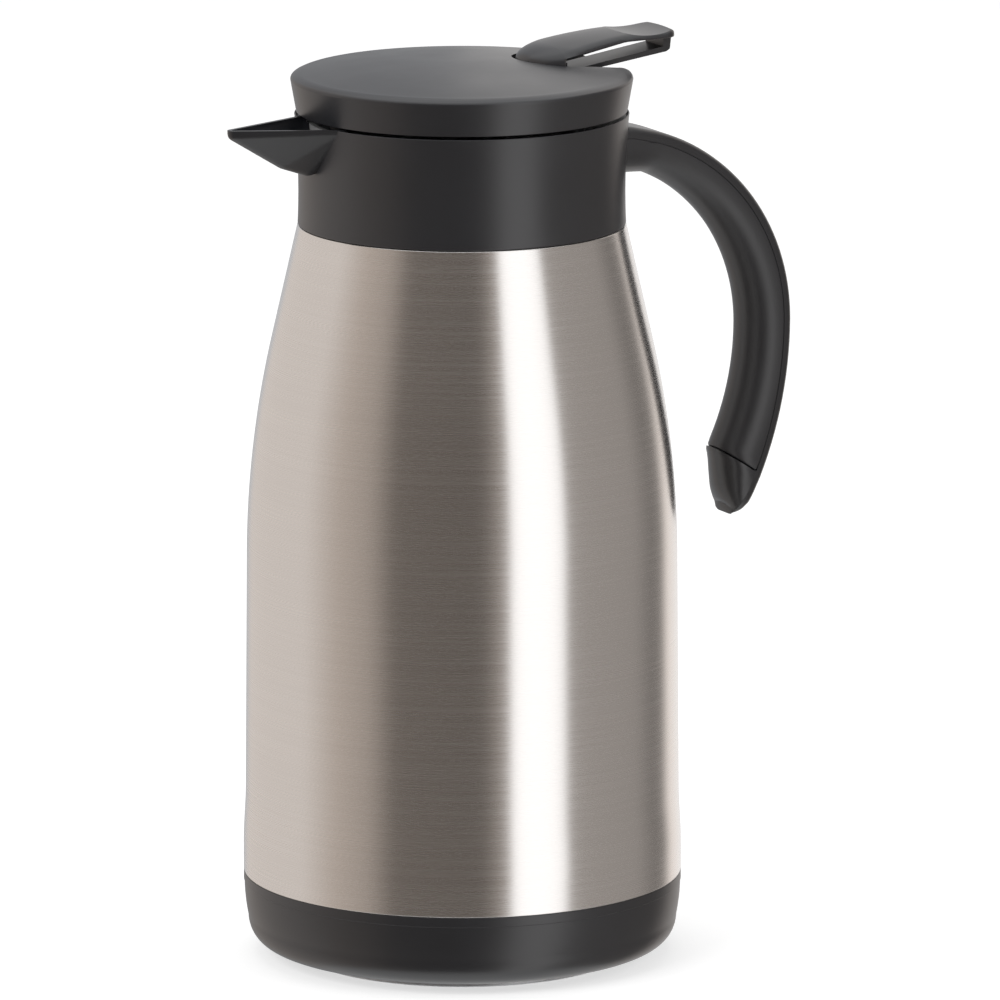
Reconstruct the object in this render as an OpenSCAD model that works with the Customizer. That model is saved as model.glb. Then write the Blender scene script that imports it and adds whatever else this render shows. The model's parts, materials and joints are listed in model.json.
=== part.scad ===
// Thermal carafe: a double-walled steel flask with a plastic base cup, a collar
// with a pouring spout, an open C handle and a lift-off stopper lid. A thumb
// lever over the handle lifts a sprung valve in the stopper.
// Millimetres. +Z is up, +X points to the handle, the spout points to -X.
// The origin is on the axis, in the plane that the foot pad stands on.

/* [Base] */
// Height that the foot pad stands below the base cup
foot_stand = 3; // [2:0.1:4]
// Radius of the foot pad
foot_r = 50; // [46:0.5:56]
// Depth of the pocket that holds the foot pad
foot_pocket = 1; // [0.6:0.1:1.4]
// Height of the base cup
base_h = 21.6; // [19:0.1:25]
// Wall of the base cup
base_wall = 3.2; // [2.8:0.1:3.6]
// Floor of the base cup
base_floor = 2.6; // [2.2:0.1:3.4]
// Width of the rounding round the bottom edge of the base cup
base_round_w = 6.7; // [5:0.1:7.5]
// Height of the rounding round the bottom edge of the base cup
base_round_h = 8; // [6:0.1:10]
// Height of the plain band at the top of the base cup
base_band_h = 3; // [2:0.1:4]
// Height of the ledge in the base cup that carries the flask
base_ledge = 6.6; // [6:0.1:8]

/* [Flask] */
// Radius of the flask at its foot, flush with the base cup
flask_r = 65; // [64.5:0.1:67]
// How far the flask is drawn in from its foot to where its shoulder starts
waist_in = 1.3; // [0.8:0.1:4]
// Height of the flask from the base cup to the collar
flask_h = 194.5; // [185:0.5:210]
// Height of the nearly straight wall below the shoulder
straight_h = 93.4; // [85:0.5:100]
// Radius of the long curve of the shoulder
shoulder_arc = 300; // [260:5:340]
// Radius of the flask under the collar
flask_top_r = 48.4; // [47:0.1:50]
// Thickness of the steel of both walls
steel = 0.8; // [0.6:0.05:1]
// Width of the vacuum gap between the two walls
vacuum_gap = 4.5; // [3.5:0.1:5.5]
// Height of the vacuum gap under the inner wall
vacuum_gap_floor = 5; // [4:0.1:7]
// How far the neck is set in from the top edge of the flask
neck_step = 10.4; // [9.4:0.1:11.4]
// Width of the gap between the two walls in the neck
neck_gap = 2.4; // [1.8:0.1:3]
// Height of the neck above the shoulder
neck_h = 15.5; // [13.5:0.1:16.5]

/* [Vacuum seal and getter] */
// Radius of the sealing disc under the flask
seal_disc_r = 6; // [4:0.5:8]
// Thickness of the sealing disc
seal_disc_t = 1; // [0.6:0.1:1.2]
// Radius of the getter pellet
getter_r = 4; // [3:0.1:5]
// Height of the getter pellet
getter_h = 2.2; // [1.6:0.1:2.6]

/* [Collar] */
// Height of the collar
collar_h = 33.2; // [31:0.1:35]
// Step from the flask in to the foot of the collar
collar_step = 0.1; // [0:0.05:0.4]
// How much wider the collar is at its top than at its foot
collar_flare = 0.9; // [0.4:0.1:1.4]
// How far the collar is drawn in at half height
collar_waist = 0.6; // [0:0.05:0.9]
// Wall of the collar
collar_wall = 2.3; // [1.9:0.1:2.6]
// Height of the collar's floor above the flask, at its underside
web_z = 7; // [6:0.1:8]
// Thickness of the collar's floor
web_t = 2.2; // [1.8:0.1:2.6]
// Rounding of the foot of the collar
collar_round = 0.7; // [0.5:0.1:1.8]
// Thickness of the flat ring seal under the collar
collar_seal_t = 1.5; // [1.2:0.1:2]
// Width of the flat ring seal under the collar
collar_seal_w = 5; // [4:0.1:6]
// Height of the nut on the neck
nut_h = 4.4; // [3.6:0.1:4.8]
// Width of the nut on the neck
nut_w = 3.4; // [2.8:0.1:3.8]
// Notches for the wrench round the nut
nut_notches = 8; // [4:1:12]

/* [Spout] */
// How far the tip of the spout stands out from the axis
spout_reach = 75.8; // [72:0.1:80]
// Half width of the spout where it leaves the collar
spout_half_w = 14.6; // [11:0.1:16]
// Depth of the V where the spout leaves the collar
spout_depth = 15.4; // [13:0.1:18]
// Depth of the lip at the tip of the spout
spout_tip_h = 3.2; // [2.4:0.1:4]
// Wall of the spout
spout_wall = 1.2; // [1:0.1:1.6]

/* [Handle] */
// Width of the handle
handle_w = 20; // [17:0.5:23]
// Radius of the rounded outer edges of the handle
handle_edge_r = 3; // [2:0.1:4]
// Depth of the rounding of the inner face of the handle
handle_belly = 7; // [5:0.1:8]
// Thickness of the handle's spine at its outer face
spine_t = 3.2; // [2.6:0.1:4]
// How far the handle stands out from the foot of the collar
handle_reach = 57.1; // [52:0.1:62]
// Depth of the handle from its outer to its inner face, where it stands out most
handle_depth = 13.9; // [12:0.1:16]
// Depth below the collar's foot at which the outer face stands out most
handle_drop = 36; // [30:0.5:38]
// Depth below the collar's foot at which the inner face stands out most
inner_drop = 37.9; // [33:0.1:41]
// Height of the top of the handle's root over the foot of the collar
root_top = 26.2; // [24:0.1:28]
// Height of the handle's root
root_h = 15.2; // [14:0.1:16.5]
// Radius of the outer face's lower arc
bow_low_r = 119; // [110:1:126]
// Radius of the inner face's lower arc
inner_low_r = 81; // [75:0.5:86]
// Length of the beak below the grip
beak_l = 18.4; // [15:0.1:22]
// Radius of the handle's screws
handle_screw_r = 1.5; // [1.3:0.1:1.6]
// Distance between the handle's screws
handle_screw_pitch = 5.4; // [5.2:0.1:5.8]

/* [Stopper] */
// Depth of the stopper below the mouth
plug_depth = 16; // [14:0.1:17]
// Clearance between the stopper and the mouth
plug_play = 1; // [0.7:0.1:1.4]
// Wall of the stopper
plug_wall = 3.6; // [3:0.1:4.2]
// Thickness of the valve seat, which is the floor of the stopper
seat_t = 2.4; // [1.8:0.1:3]
// Radius of the flow hole in the valve seat
seat_hole_r = 12; // [10:0.5:13]
// Height of the stopper's seal ring
ring_h = 5.4; // [4:0.1:6]
// Depth of the groove that holds the seal ring
ring_groove = 1.6; // [1.2:0.1:2]
// Width of the stopper's shoulder over the mouth
plug_shoulder_w = 3.4; // [2.6:0.1:4]
// Height of the stopper's shoulder
plug_shoulder_h = 2; // [1.6:0.1:2.6]
// Height of the flow windows in the stopper
window_h = 10.2; // [8:0.1:11]
// Number of flow windows
window_count = 6; // [4:1:8]
// Width of the posts between the flow windows
post_w = 7; // [5:0.5:9]
// Thickness of the plate that joins the stopper to the cap
plate_t = 2.4; // [2:0.1:2.8]
// Thickness of the drip seal round that plate
drip_seal_w = 1.5; // [1.2:0.1:2]

/* [Valve] */
// Radius of the valve stem
stem_r = 2.2; // [1.8:0.1:2.6]
// Radius of the valve disc
disc_r = 14.5; // [13.8:0.1:16]
// Thickness of the valve disc
disc_t = 2.2; // [1.8:0.1:2.8]
// Thickness of the valve's seal
valve_seal_t = 1.6; // [1.2:0.1:2]
// Radius of the valve's seal
valve_seal_r = 15.6; // [14.8:0.1:17]
// Radius of the head of the stem
head_r = 5.5; // [5:0.1:6.5]
// Height of the head of the stem
head_t = 2.5; // [2:0.1:2.8]
// Thickness of the retaining clip over the valve disc
clip_t = 0.8; // [0.6:0.1:1.2]
// Thickness of the spring wire
wire_d = 1.2; // [0.9:0.1:1.4]
// Radius of the spring, to the middle of its wire
coil_r = 6.8; // [6.5:0.1:8]
// Turns of the spring
coil_turns = 7; // [5:1:8]
// Wall of the stem guide
guide_wall = 2.6; // [2:0.1:3]
// Length of the stem guide below the plate
guide_drop = 6; // [4:0.5:7]

/* [Lid cap] */
// Height of the cap's rim above the collar
rim_h = 11.6; // [10.8:0.1:12.6]
// Height of the seam between the collar and the cap
lid_seam = 0.6; // [0.4:0.05:0.8]
// How far the foot of the cap is set in from the collar's top edge
cap_inset = 0.5; // [0.1:0.1:0.8]
// How far the cap flares out to its widest
cap_flare = 1.6; // [0.8:0.1:2]
// Rounding of the cap's top edge
cap_edge_r = 3; // [2:0.1:3.4]
// Height of the dome over the rim
dome_h = 2.9; // [2.4:0.1:3.6]
// Wall of the cap
cap_wall = 2; // [1.6:0.1:2.2]
// Radius of the screws under the lid
lid_screw_r = 1.5; // [1.2:0.1:1.8]
// Number of screws under the lid
lid_screw_count = 3; // [2:1:4]
// Distance of the screws under the lid from the edge of their plate
lid_screw_inset = 5.2; // [4.6:0.1:6]

/* [Lever] */
// Distance of the lever's pivot from the axis
pivot_x = 28; // [27:0.1:29]
// Radius of the lever's pin
pin_r = 1.5; // [1.2:0.1:1.8]
// Radius of the lever's hub
hub_r = 4; // [3.4:0.1:4.2]
// Width of the lever at its nose
nose_w = 26; // [23:0.5:27]
// Width of the lever at the thumb pad
pad_w = 20; // [17:0.5:22]
// Length of the rounded nose, seen from above
nose_l = 8.8; // [7:0.1:10]
// Distance of the tip of the nose from the axis
nose_x = 19; // [18.8:0.1:20]
// Distance of the thumb end from the axis
thumb_x = 66.5; // [64:0.1:70]
// Height of the top of the lever over the rim of the cap
lever_rise = 9.6; // [8.6:0.1:10.6]
// How far the nose of the lever lies below the front of its thumb pad
nose_fall = 4.1; // [3:0.1:4.6]
// How far the sides of the lever's top fall below its middle
lever_crown = 1; // [0.4:0.1:1.4]
// Length of the thumb pad at the end of the lever
pad_l = 17.5; // [15:0.5:21]
// Thickness of the lever's upper shell where it is thinnest
lever_shell_t = 1.9; // [1.7:0.1:2.3]
// Width of the lever's loop under the shell
loop_w = 11.5; // [9.5:0.5:14]
// Thickness of the lever's lower plate
lever_plate_t = 1.7; // [1.4:0.1:2]
// Gap round the lever in the cap
lever_gap = 1; // [0.7:0.1:1.4]
// Thickness of the rocker arm
arm_t = 2.4; // [2:0.1:2.8]
// Width of the rocker arm
arm_w = 12; // [11:0.1:13]
// Radius of the crown on the arm's fork
crown_r = 2; // [1.6:0.1:2.2]

/* [Fits] */
// Gap between pieces that move past each other
gap = 0.3; // [0.25:0.01:0.4]
// Gap between pieces that are fixed to each other
snug = 0.1; // [0.05:0.01:0.15]
// Radial play of a shaft in its bore
play = 0.06; // [0.03:0.01:0.09]

/* [Hidden] */
$fn = 96;

black = "#2b2b2e";
soft_black = "#38383b";
steel_grey = "#b9b6b0";
pad_grey = "#c9cbd0";
rubber_grey = "#d8d8d4";

// Heights of the seams
base_z = foot_stand;
seam_z = base_z + base_h;
top_z = seam_z + flask_h;
collar_top_z = top_z + collar_h;
mouth_z = top_z + neck_h;
rim_z = collar_top_z + rim_h;

// Base cup: how far its wall flares out up to its band, the band's step and the ledge's width
base_flare = 1.3;
band_step = 0.2;
ledge_w = 1.6;

// Flask: a flared foot, a nearly straight wall, a long arc and a cone that is tangent to it
foot_band_h = 8;
foot_flare_h = 18.4;
foot_flare_share = 0.54;
waist_r = flask_r - waist_in;
low_r = flask_r - waist_in * foot_flare_share;
shoulder_in = waist_r - flask_top_r;
arc_dz = flask_h - straight_h;
// The curve is limited by the height that it has, so that a short cone is left above it
shoulder_r = min(shoulder_arc, 0.96 * (pow(shoulder_in, 2) + pow(arc_dz, 2)) / (2 * shoulder_in));
arc_dx = shoulder_r - shoulder_in;
shoulder_angle = atan2(arc_dz, arc_dx) - acos(shoulder_r / norm([arc_dx, arc_dz]));
shoulder_steps = 8;
shell_skirt_r = flask_r - base_wall - snug;
neck_r = flask_top_r - neck_step;
mouth_r = neck_r - 2 * steel - neck_gap;
ledge_z = base_z + base_ledge;
shell_floor_z = ledge_z + 0.4;
liner_floor_z = shell_floor_z + steel + vacuum_gap_floor;
liner_round = 12;
// Height of the slope from the inner wall in to the neck
liner_slope = 12;

// Points [radius, height] up the outside of the flask, moved in by a distance
function flask_points(inset) = [
    [flask_r - inset, seam_z],
    [flask_r - inset, seam_z + foot_band_h],
    for (i = [1:5])
        [flask_r - (flask_r - low_r) * (1 - cos(36 * i)) / 2 - inset,
            seam_z + foot_band_h + foot_flare_h * i / 5],
    for (i = [0:shoulder_steps])
        let (a = shoulder_angle * i / shoulder_steps)
        [waist_r - shoulder_r * (1 - cos(a)) - inset, seam_z + straight_h + shoulder_r * sin(a)],
    [flask_top_r - inset, top_z]
];
function reversed(list) = [for (i = [len(list) - 1:-1:0]) list[i]];

// Getter
getter_x = 22;
getter_foot = 6;

// Collar
collar_foot_r = flask_top_r - collar_step;
collar_top_r = collar_foot_r + collar_flare;
collar_inner_r = collar_foot_r - collar_wall;
collar_steps = 10;
function collar_r(z) =
    let (t = (z - top_z) / collar_h)
    collar_foot_r + collar_flare * t - 4 * collar_waist * t * (1 - t);
web_top_z = top_z + web_z + web_t;
sleeve_wall = 2;

// Spout: radii at its tip, its keel and its corners, and the keel as [share of the way from root
// to tip, how far it hangs below the straight line]
spout_lip_r = 1.9;
spout_keel_r = 2.2;
spout_root_r = 2.6;
spout_corner_r = 2;
spout_keel = [[0.33, 1.4], [0.61, 0.8]];
spout_root_out = 1.9;
spout_root_x = sqrt(pow(collar_top_r, 2) - pow(spout_half_w, 2));

// Root of the handle: how far it is sunk into the collar, how its top and its underside fall to
// the bow, and the distances from the collar at which the bow starts
root_sink = 4;
root_fall = 2.2;
root_fillet = 0.2;
root_under = root_top - root_h;
outer_start = 11.3;
inner_start = 10.4;
// Radius of an arc that stands upright where it stands out most, from its width and its height
function arc_r(w, h) = (pow(w, 2) + pow(h, 2)) / (2 * w);
bow_top_r = arc_r(handle_reach - outer_start, root_top - root_fall + handle_drop);
inner_top_r = arc_r(handle_reach - handle_depth - inner_start, root_under - root_fillet + inner_drop);
// Handle: arcs of its outer and inner line as [distance from the collar's foot, height over
// the collar's foot, radius], in the plane of the handle
outer_top = [handle_reach - bow_top_r, -handle_drop, bow_top_r];
outer_low = [handle_reach - bow_low_r, -handle_drop, bow_low_r];
inner_top = [handle_reach - handle_depth - inner_top_r, -inner_drop, inner_top_r];
inner_low = [handle_reach - handle_depth - inner_low_r, -inner_drop, inner_low_r];
outer_top_a = acos((outer_start - outer_top[0]) / bow_top_r);
inner_top_a = acos((inner_start - inner_top[0]) / inner_top_r);
outer_low_a = 23.4;
inner_low_a = 26.9;
top_steps = 12;
low_steps = 6;
handle_half = handle_w / 2;
function at_collar(p) = [collar_foot_r + p[0], top_z + p[1]];
function arc_point(c, a) = at_collar([c[0] + c[2] * cos(a), c[1] + c[2] * sin(a)]);
// Each station is [outer point, inner point, half width]
root_stations = [
    [at_collar([-root_sink, root_top]), at_collar([-root_sink, root_under]), handle_half],
    [at_collar([outer_start * 0.33, root_top - root_fall * 0.2]),
        at_collar([inner_start * 0.36, root_under]), handle_half],
    [at_collar([outer_start * 0.68, root_top - root_fall * 0.6]),
        at_collar([inner_start * 0.7, root_under - root_fillet * 0.3]), handle_half]
];
bow_stations = [
    for (i = [0:top_steps])
        let (t = 1 - i / top_steps)
        [arc_point(outer_top, outer_top_a * t), arc_point(inner_top, inner_top_a * t), handle_half],
    for (i = [1:low_steps])
        let (t = -i / low_steps)
        [arc_point(outer_low, outer_low_a * t), arc_point(inner_low, inner_low_a * t), handle_half]
];
kink = bow_stations[len(bow_stations) - 1];
// The beak under the grip: steps from the kink to the tip as shares of its length, outside and
// inside, and the share of the width that is left
tip_steps = [
    [[-0.076, -0.163], [0.027, -0.196], 0.99],
    [[-0.141, -0.304], [0.054, -0.446], 0.97],
    [[-0.217, -0.446], [0.087, -0.685], 0.92],
    [[-0.304, -0.56], [0.152, -0.891], 0.78],
    [[-0.38, -0.62], [0.217, -1], 0.55]
];
tip_stations = [for (t = tip_steps) [kink[0] + beak_l * t[0], kink[1] + beak_l * t[1], handle_half * t[2]]];
belly_steps = 8;
// A station part of the way from one to the next
function between(a, b, t) = [a[0] + (b[0] - a[0]) * t, a[1] + (b[1] - a[1]) * t, a[2] + (b[2] - a[2]) * t];
grip_stations = concat(
    [between(root_stations[1], root_stations[2], 0.1), root_stations[2]],
    [for (i = [0:len(bow_stations) - 2]) bow_stations[i]],
    [between(kink, bow_stations[len(bow_stations) - 2], 0.1)]
);

// Screws of the handle, one above the other, driven from inside the collar
handle_screw_z = top_z + root_under + (root_h - root_fall * 0.6 - spine_t - snug) / 2;
handle_screw_bite = 8;
handle_screw_head_r = 2.5;
handle_screw_head_t = 1.8;
// The flat heads sit on the round wall
handle_screw_x = sqrt(pow(collar_inner_r, 2) - pow(handle_screw_head_r, 2)) - handle_screw_head_t - snug;
handle_screw_l = collar_foot_r + handle_screw_bite - handle_screw_x;

// Stopper
plug_r = mouth_r - plug_play;
plug_floor_z = mouth_z + steel - plug_depth;
seat_z = plug_floor_z + seat_t;
shoulder_z = mouth_z + steel + gap;
window_z = shoulder_z + plug_shoulder_h;
plate_z = window_z + window_h;
plate_top_z = plate_z + plate_t;
plate_r = collar_inner_r - gap - drip_seal_w;
plug_inner_r = plug_r - plug_wall;
ring_z = plug_floor_z + 3.6;
// Shallow rim under the plate that centres it in the stopper
plate_rim_h = 0.8;
plate_rim_w = 1.6;
lid_screw_circle = plate_r - lid_screw_inset;
lid_screw_head_r = 2.8;
lid_screw_head_t = 1.8;

// Lid cap
cap_z = collar_top_z + lid_seam;
cap_r = collar_top_r - cap_inset;
cap_wide_r = cap_r + cap_flare;
cap_wide_z = rim_z - cap_edge_r;
cap_flat_r = cap_wide_r - cap_edge_r;
apex_z = rim_z + dome_h;
dome_steps = 10;
function dome_z(r) = rim_z + dome_h * (1 - pow(r / cap_flat_r, 2));

// Lever and its pivot. The lower plate comes to rest along the trough when the lever is down
press_angle = 8;
trough_top_z = rim_z - 3.7;
trough_floor_t = 1.6;
pivot_z = trough_top_z - 1.2;
plate_rise = tan(press_angle + 1);
nose_arc = (pow(nose_w / 2, 2) + pow(nose_l, 2)) / (2 * nose_l);
trough_half_w = nose_w / 2 + lever_gap;
trough_arc = nose_arc + lever_gap;
trough_x = nose_x - lever_gap;
trough_wall = 1.6;
trough_lip = 6.4;
well_end_x = pivot_x + 8;
cheek_drop = 4.4;
cheek_x = 8;
pin_l = nose_w + 2 * lever_gap + 2 * trough_wall + 2;
// The hub is short enough for the round front of the trough
hub_w = nose_w - 4;
// Underside of the lever over its pivot, rounding of its thumb end, where the wide nose ends before
// the pivot, and limits of the opening of the loop
plate_lift = 1.4;
pad_corner_r = 4;
block_back = 0.5;
window_start = 3;
window_end = 3;
// Rise of the thumb pad to the rear, rounding of the top edge, how the shell thickens to both
// ends of the loop and where it is thinnest
pad_rise = 0.3;
lever_edge_r = 1.5;
shell_swell = 0.0065;
shell_thin_x = pivot_x + 15;
lever_top_z = rim_z + lever_rise;
crest_z = lever_top_z - pad_rise;
nose_top_z = crest_z - nose_fall;
pad_x = thumb_x - pad_l;

// Valve
valve_seal_z = seat_z + gap;
disc_z = valve_seal_z + valve_seal_t;
stem_foot_t = 1;
clip_z = disc_z + disc_t;
crown_z = pivot_z - crown_r - 1.4;
head_z = crown_z + crown_r + gap;
arm_z = pivot_z - 2.2 - arm_t;
arm_front_x = -3.4;
arm_back_x = pivot_x - 3.4;
arm_screw_r = 1.1;
arm_screw_x = pivot_x - 5.4;
arm_screw_l = 6.4;
arm_screw_head_r = 2;
arm_screw_head_t = 1.4;
spring_top_z = plate_z - gap;
spring_foot_z = clip_z + gap;

module revolve(points) {
    rotate_extrude() polygon(points);
}

module ring(inner, outer, z, h) {
    translate([0, 0, z]) difference() {
        cylinder(r = outer, h = h);
        translate([0, 0, -1]) cylinder(r = inner, h = h + 2);
    }
}

module foot_pad() {
    color(pad_grey) cylinder(r = foot_r, h = foot_stand + foot_pocket);
}

module base_cup() {
    inner_r = flask_r - base_wall;
    floor_top = base_z + foot_pocket + base_floor;
    round_top = base_z + base_round_h;
    band_z = seam_z - base_band_h;
    wall_steps = 5;
    color(black) difference() {
        revolve([
            [0, base_z],
            for (i = [0:8])
                [flask_r - base_flare - base_round_w * (1 - sin(11.25 * i)),
                    base_z + base_round_h * (1 - cos(11.25 * i))],
            for (i = [1:wall_steps])
                let (t = i / wall_steps)
                [flask_r - band_step - (base_flare - band_step) * pow(1 - t, 2),
                    round_top + (band_z - round_top) * t],
            [flask_r, band_z + band_step],
            [flask_r, seam_z],
            [inner_r, seam_z],
            [inner_r, ledge_z],
            [inner_r - ledge_w, ledge_z],
            [inner_r - ledge_w - (ledge_z - floor_top), floor_top],
            [0, floor_top]
        ]);
        translate([0, 0, base_z - 1]) cylinder(r = foot_r + snug, h = 1 + foot_pocket);
    }
}

module outer_shell() {
    wall = flask_points(0);
    inside = flask_points(steel);
    inside_low = [inside[0][0], seam_z + steel];
    color(steel_grey) revolve(concat(
        [[shell_skirt_r, ledge_z], [shell_skirt_r, seam_z]],
        wall,
        [for (i = [len(inside) - 1:-1:1]) inside[i]],
        [inside_low, [shell_skirt_r - steel, seam_z + steel], [shell_skirt_r - steel, ledge_z]]
    ));
}

// The ring that closes the top of the outer shell and carries its neck
module shell_neck() {
    ring_r = flask_top_r - steel - snug / 2;
    color(steel_grey) revolve([
        [ring_r, top_z], [neck_r, top_z], [neck_r, mouth_z], [neck_r - steel, mouth_z],
        [neck_r - steel, top_z - steel], [ring_r, top_z - steel]
    ]);
}

module shell_bottom() {
    disc_r = shell_skirt_r - steel - snug / 2;
    color(steel_grey) difference() {
        translate([0, 0, shell_floor_z]) cylinder(r = disc_r, h = steel);
        translate([0, 0, shell_floor_z - 1]) cylinder(r = 1, h = steel + 2);
    }
}

module seal_disc() {
    color(steel_grey) translate([0, 0, shell_floor_z - seal_disc_t]) cylinder(r = seal_disc_r, h = seal_disc_t);
}

module getter_pellet() {
    color("dimgray") translate([getter_x, 0, shell_floor_z + steel + steel / 2]) cylinder(r = getter_r, h = getter_h);
}

// A sheet cup on two welded feet
module getter_clip() {
    cup_r = getter_r + snug + steel;
    foot_l = 2 * (cup_r + getter_foot);
    color(steel_grey) translate([getter_x, 0, shell_floor_z + steel]) difference() {
        union() {
            cylinder(r = cup_r, h = getter_h);
            translate([-foot_l / 2, -getter_r / 2, 0]) cube([foot_l, getter_r, steel / 2]);
        }
        translate([0, 0, steel / 2]) cylinder(r = getter_r + snug, h = getter_h);
    }
}

// The dish that closes the inner wall
module liner_floor() {
    low_r_out = flask_r - steel - vacuum_gap;
    color(steel_grey) revolve(concat(
        [[0, liner_floor_z]],
        [for (i = [0:6]) [low_r_out - liner_round * (1 - sin(15 * i)), liner_floor_z + liner_round * (1 - cos(15 * i))]],
        [for (i = [6:-1:0]) [low_r_out - steel - (liner_round - steel) * (1 - sin(15 * i)),
            liner_floor_z + steel + (liner_round - steel) * (1 - cos(15 * i))]],
        [[0, liner_floor_z + steel]]
    ));
}

module inner_liner() {
    outside_r = steel + vacuum_gap;
    low_r_out = flask_r - outside_r;
    slope_z = top_z - liner_slope;
    wall = [for (p = flask_points(outside_r)) if (p[1] > liner_floor_z + liner_round && p[1] < slope_z) p];
    inner = [for (p = wall) [p[0] - steel, p[1]]];
    last = wall[len(wall) - 1];
    lip = mouth_r + steel;
    neck_foot_z = top_z - steel - 2.4;
    slope_r = flask_top_r - outside_r + 1.6;
    color(steel_grey) revolve(concat(
        [[low_r_out, liner_floor_z + liner_round]],
        wall,
        [[slope_r, slope_z], [lip + 3, neck_foot_z - 1.2], [lip, neck_foot_z], [lip, mouth_z], [neck_r, mouth_z],
            [neck_r, mouth_z + steel], [mouth_r, mouth_z + steel], [mouth_r, neck_foot_z - steel],
            [mouth_r + 3, neck_foot_z - steel - 1.2], [slope_r - steel, slope_z - steel / 2]],
        reversed(inner),
        [[low_r_out - steel, liner_floor_z + liner_round]]
    ));
}

// The outside of the collar, grown or shrunk, between two heights
module collar_form(grow, low, high) {
    revolve([
        [0, low],
        for (i = [0:collar_steps])
            let (z = low + (high - low) * i / collar_steps)
            [collar_r(z) + grow, z],
        [0, high]
    ]);
}

// A V-shaped wedge with a hanging keel, from the collar to the tip of the spout. Balls and rods
// under one hull, so that a smaller inset wedge leaves an even wall
module spout_form(inset, top) {
    root = [-collar_foot_r - spout_root_out, collar_top_z - spout_depth];
    tip = [spout_lip_r - spout_reach, collar_top_z - spout_tip_h];
    corner_r = spout_corner_r - inset;
    intersection() {
        hull() {
            translate([tip[0], 0, tip[1] + spout_lip_r]) sphere(r = spout_lip_r - inset, $fn = 24);
            translate([tip[0], 0, top]) cylinder(r = spout_lip_r - inset, h = 1, $fn = 24);
            for (k = spout_keel)
                let (p = root + (tip - root) * k[0])
                translate([p[0], 0, p[1] - k[1] + spout_keel_r]) sphere(r = spout_keel_r - inset, $fn = 24);
            for (p = [root, [spout_root_r * 1.6 - spout_root_x, root[1] + spout_root_r * 0.6]])
                translate([p[0], 0, p[1] + spout_root_r]) sphere(r = spout_root_r - inset, $fn = 24);
            for (s = [-1, 1])
                translate([spout_corner_r - spout_root_x, s * (spout_half_w - spout_corner_r), top])
                    cylinder(r = corner_r, h = 1, $fn = 24);
            translate([4 * spout_corner_r - spout_root_x, 0, top]) cylinder(r = corner_r, h = 1, $fn = 24);
        }
        translate([-2 * spout_reach, -spout_reach, 0]) cube([2 * spout_reach, 2 * spout_reach, top]);
    }
}

module collar() {
    z_in = web_top_z;
    color(black) difference() {
        union() {
            difference() {
                revolve([
                    [0, top_z],
                    [collar_foot_r - collar_round, top_z],
                    for (i = [1:4])
                        [collar_foot_r - collar_round * (1 - sin(22.5 * i)),
                            top_z + collar_round * (1 - cos(22.5 * i))],
                    for (i = [1:collar_steps])
                        let (z = top_z + collar_round + (collar_h - collar_round) * i / collar_steps)
                        [collar_r(z), z],
                    [0, collar_top_z]
                ]);
                // Dry space under the floor
                translate([0, 0, top_z - 1]) cylinder(r = collar_inner_r - collar_waist, h = 1 + web_z);
            }
            difference() {
                spout_form(0, collar_top_z);
                cylinder(r = collar_inner_r, h = collar_top_z + 1);
            }
            // Sleeve that holds the ring seal down
            translate([0, 0, top_z + collar_seal_t]) cylinder(r = neck_r + snug + sleeve_wall, h = web_z);
        }
        // Bore for the neck
        translate([0, 0, top_z - 1]) cylinder(r = neck_r + snug, h = collar_h + 2);
        // Wet space over the floor
        translate([0, 0, z_in]) cylinder(r = collar_inner_r, h = collar_h);
        spout_form(spout_wall, collar_top_z + 1);
        for (s = [-1, 1])
            translate([0, 0, handle_screw_z + s * handle_screw_pitch / 2])
                rotate([0, 90, 0]) cylinder(r = handle_screw_r + snug, h = collar_top_r + 2);
    }
}

module collar_seal() {
    color(rubber_grey) ring(neck_r + snug, neck_r + snug + collar_seal_w, top_z, collar_seal_t);
}

module neck_nut() {
    color(black) difference() {
        ring(neck_r + snug, neck_r + snug + nut_w, web_top_z, nut_h);
        for (i = [0:nut_notches - 1])
            rotate([0, 0, 360 * (i + 0.5) / nut_notches])
                translate([neck_r + nut_w / 2, -2, web_top_z + nut_h / 2]) cube([nut_w, 4, nut_h]);
    }
}

// A station's cross-section: points from one side round the belly and the outer face.
// near and far are the depths of its inner and outer sides, belly the rounding of the inner side
function section(station, near, far, belly, edge) =
    let (
        o = station[0], i = station[1], w = station[2],
        depth = norm(o - i), dir = (o - i) / depth,
        e = min(edge, w * 0.6, depth * 0.4),
        b = min(belly, depth * 0.5),
        flat = [
            for (k = [0:belly_steps])
                let (a = -90 + 180 * k / belly_steps)
                [near + b * (1 - cos(a)), w * sin(a)],
            if (e > 0) [far - e, w],
            [far - e * 0.293, w - e * 0.293],
            [far, w - e],
            [far, e - w],
            [far - e * 0.293, e * 0.293 - w],
            if (e > 0) [far - e, -w]
        ]
    )
    [for (p = flat) [i[0] + dir[0] * p[0], p[1], i[1] + dir[1] * p[0]]];
function depth_of(s) = norm(s[0] - s[1]);

// Skin over a row of closed sections, with flat ends
module skin(rings) {
    n = len(rings[0]);
    m = len(rings);
    polyhedron(
        points = [for (r = rings) each r],
        faces = [
            [for (k = [0:n - 1]) k],
            for (j = [0:m - 2], k = [0:n - 1])
                let (a = j * n + k, b = j * n + (k + 1) % n)
                each [[a, a + n, b], [b, a + n, b + n]],
            [for (k = [n - 1:-1:0]) (m - 1) * n + k]
        ],
        convexity = 6
    );
}

function full(s) = section(s, 0, depth_of(s), handle_belly, handle_edge_r);
function strip(s) = section(s, depth_of(s) - spine_t, depth_of(s), 0, handle_edge_r);
function grip(s) = section(s, 0, depth_of(s) - spine_t - snug, handle_belly, 0.4);

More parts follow.
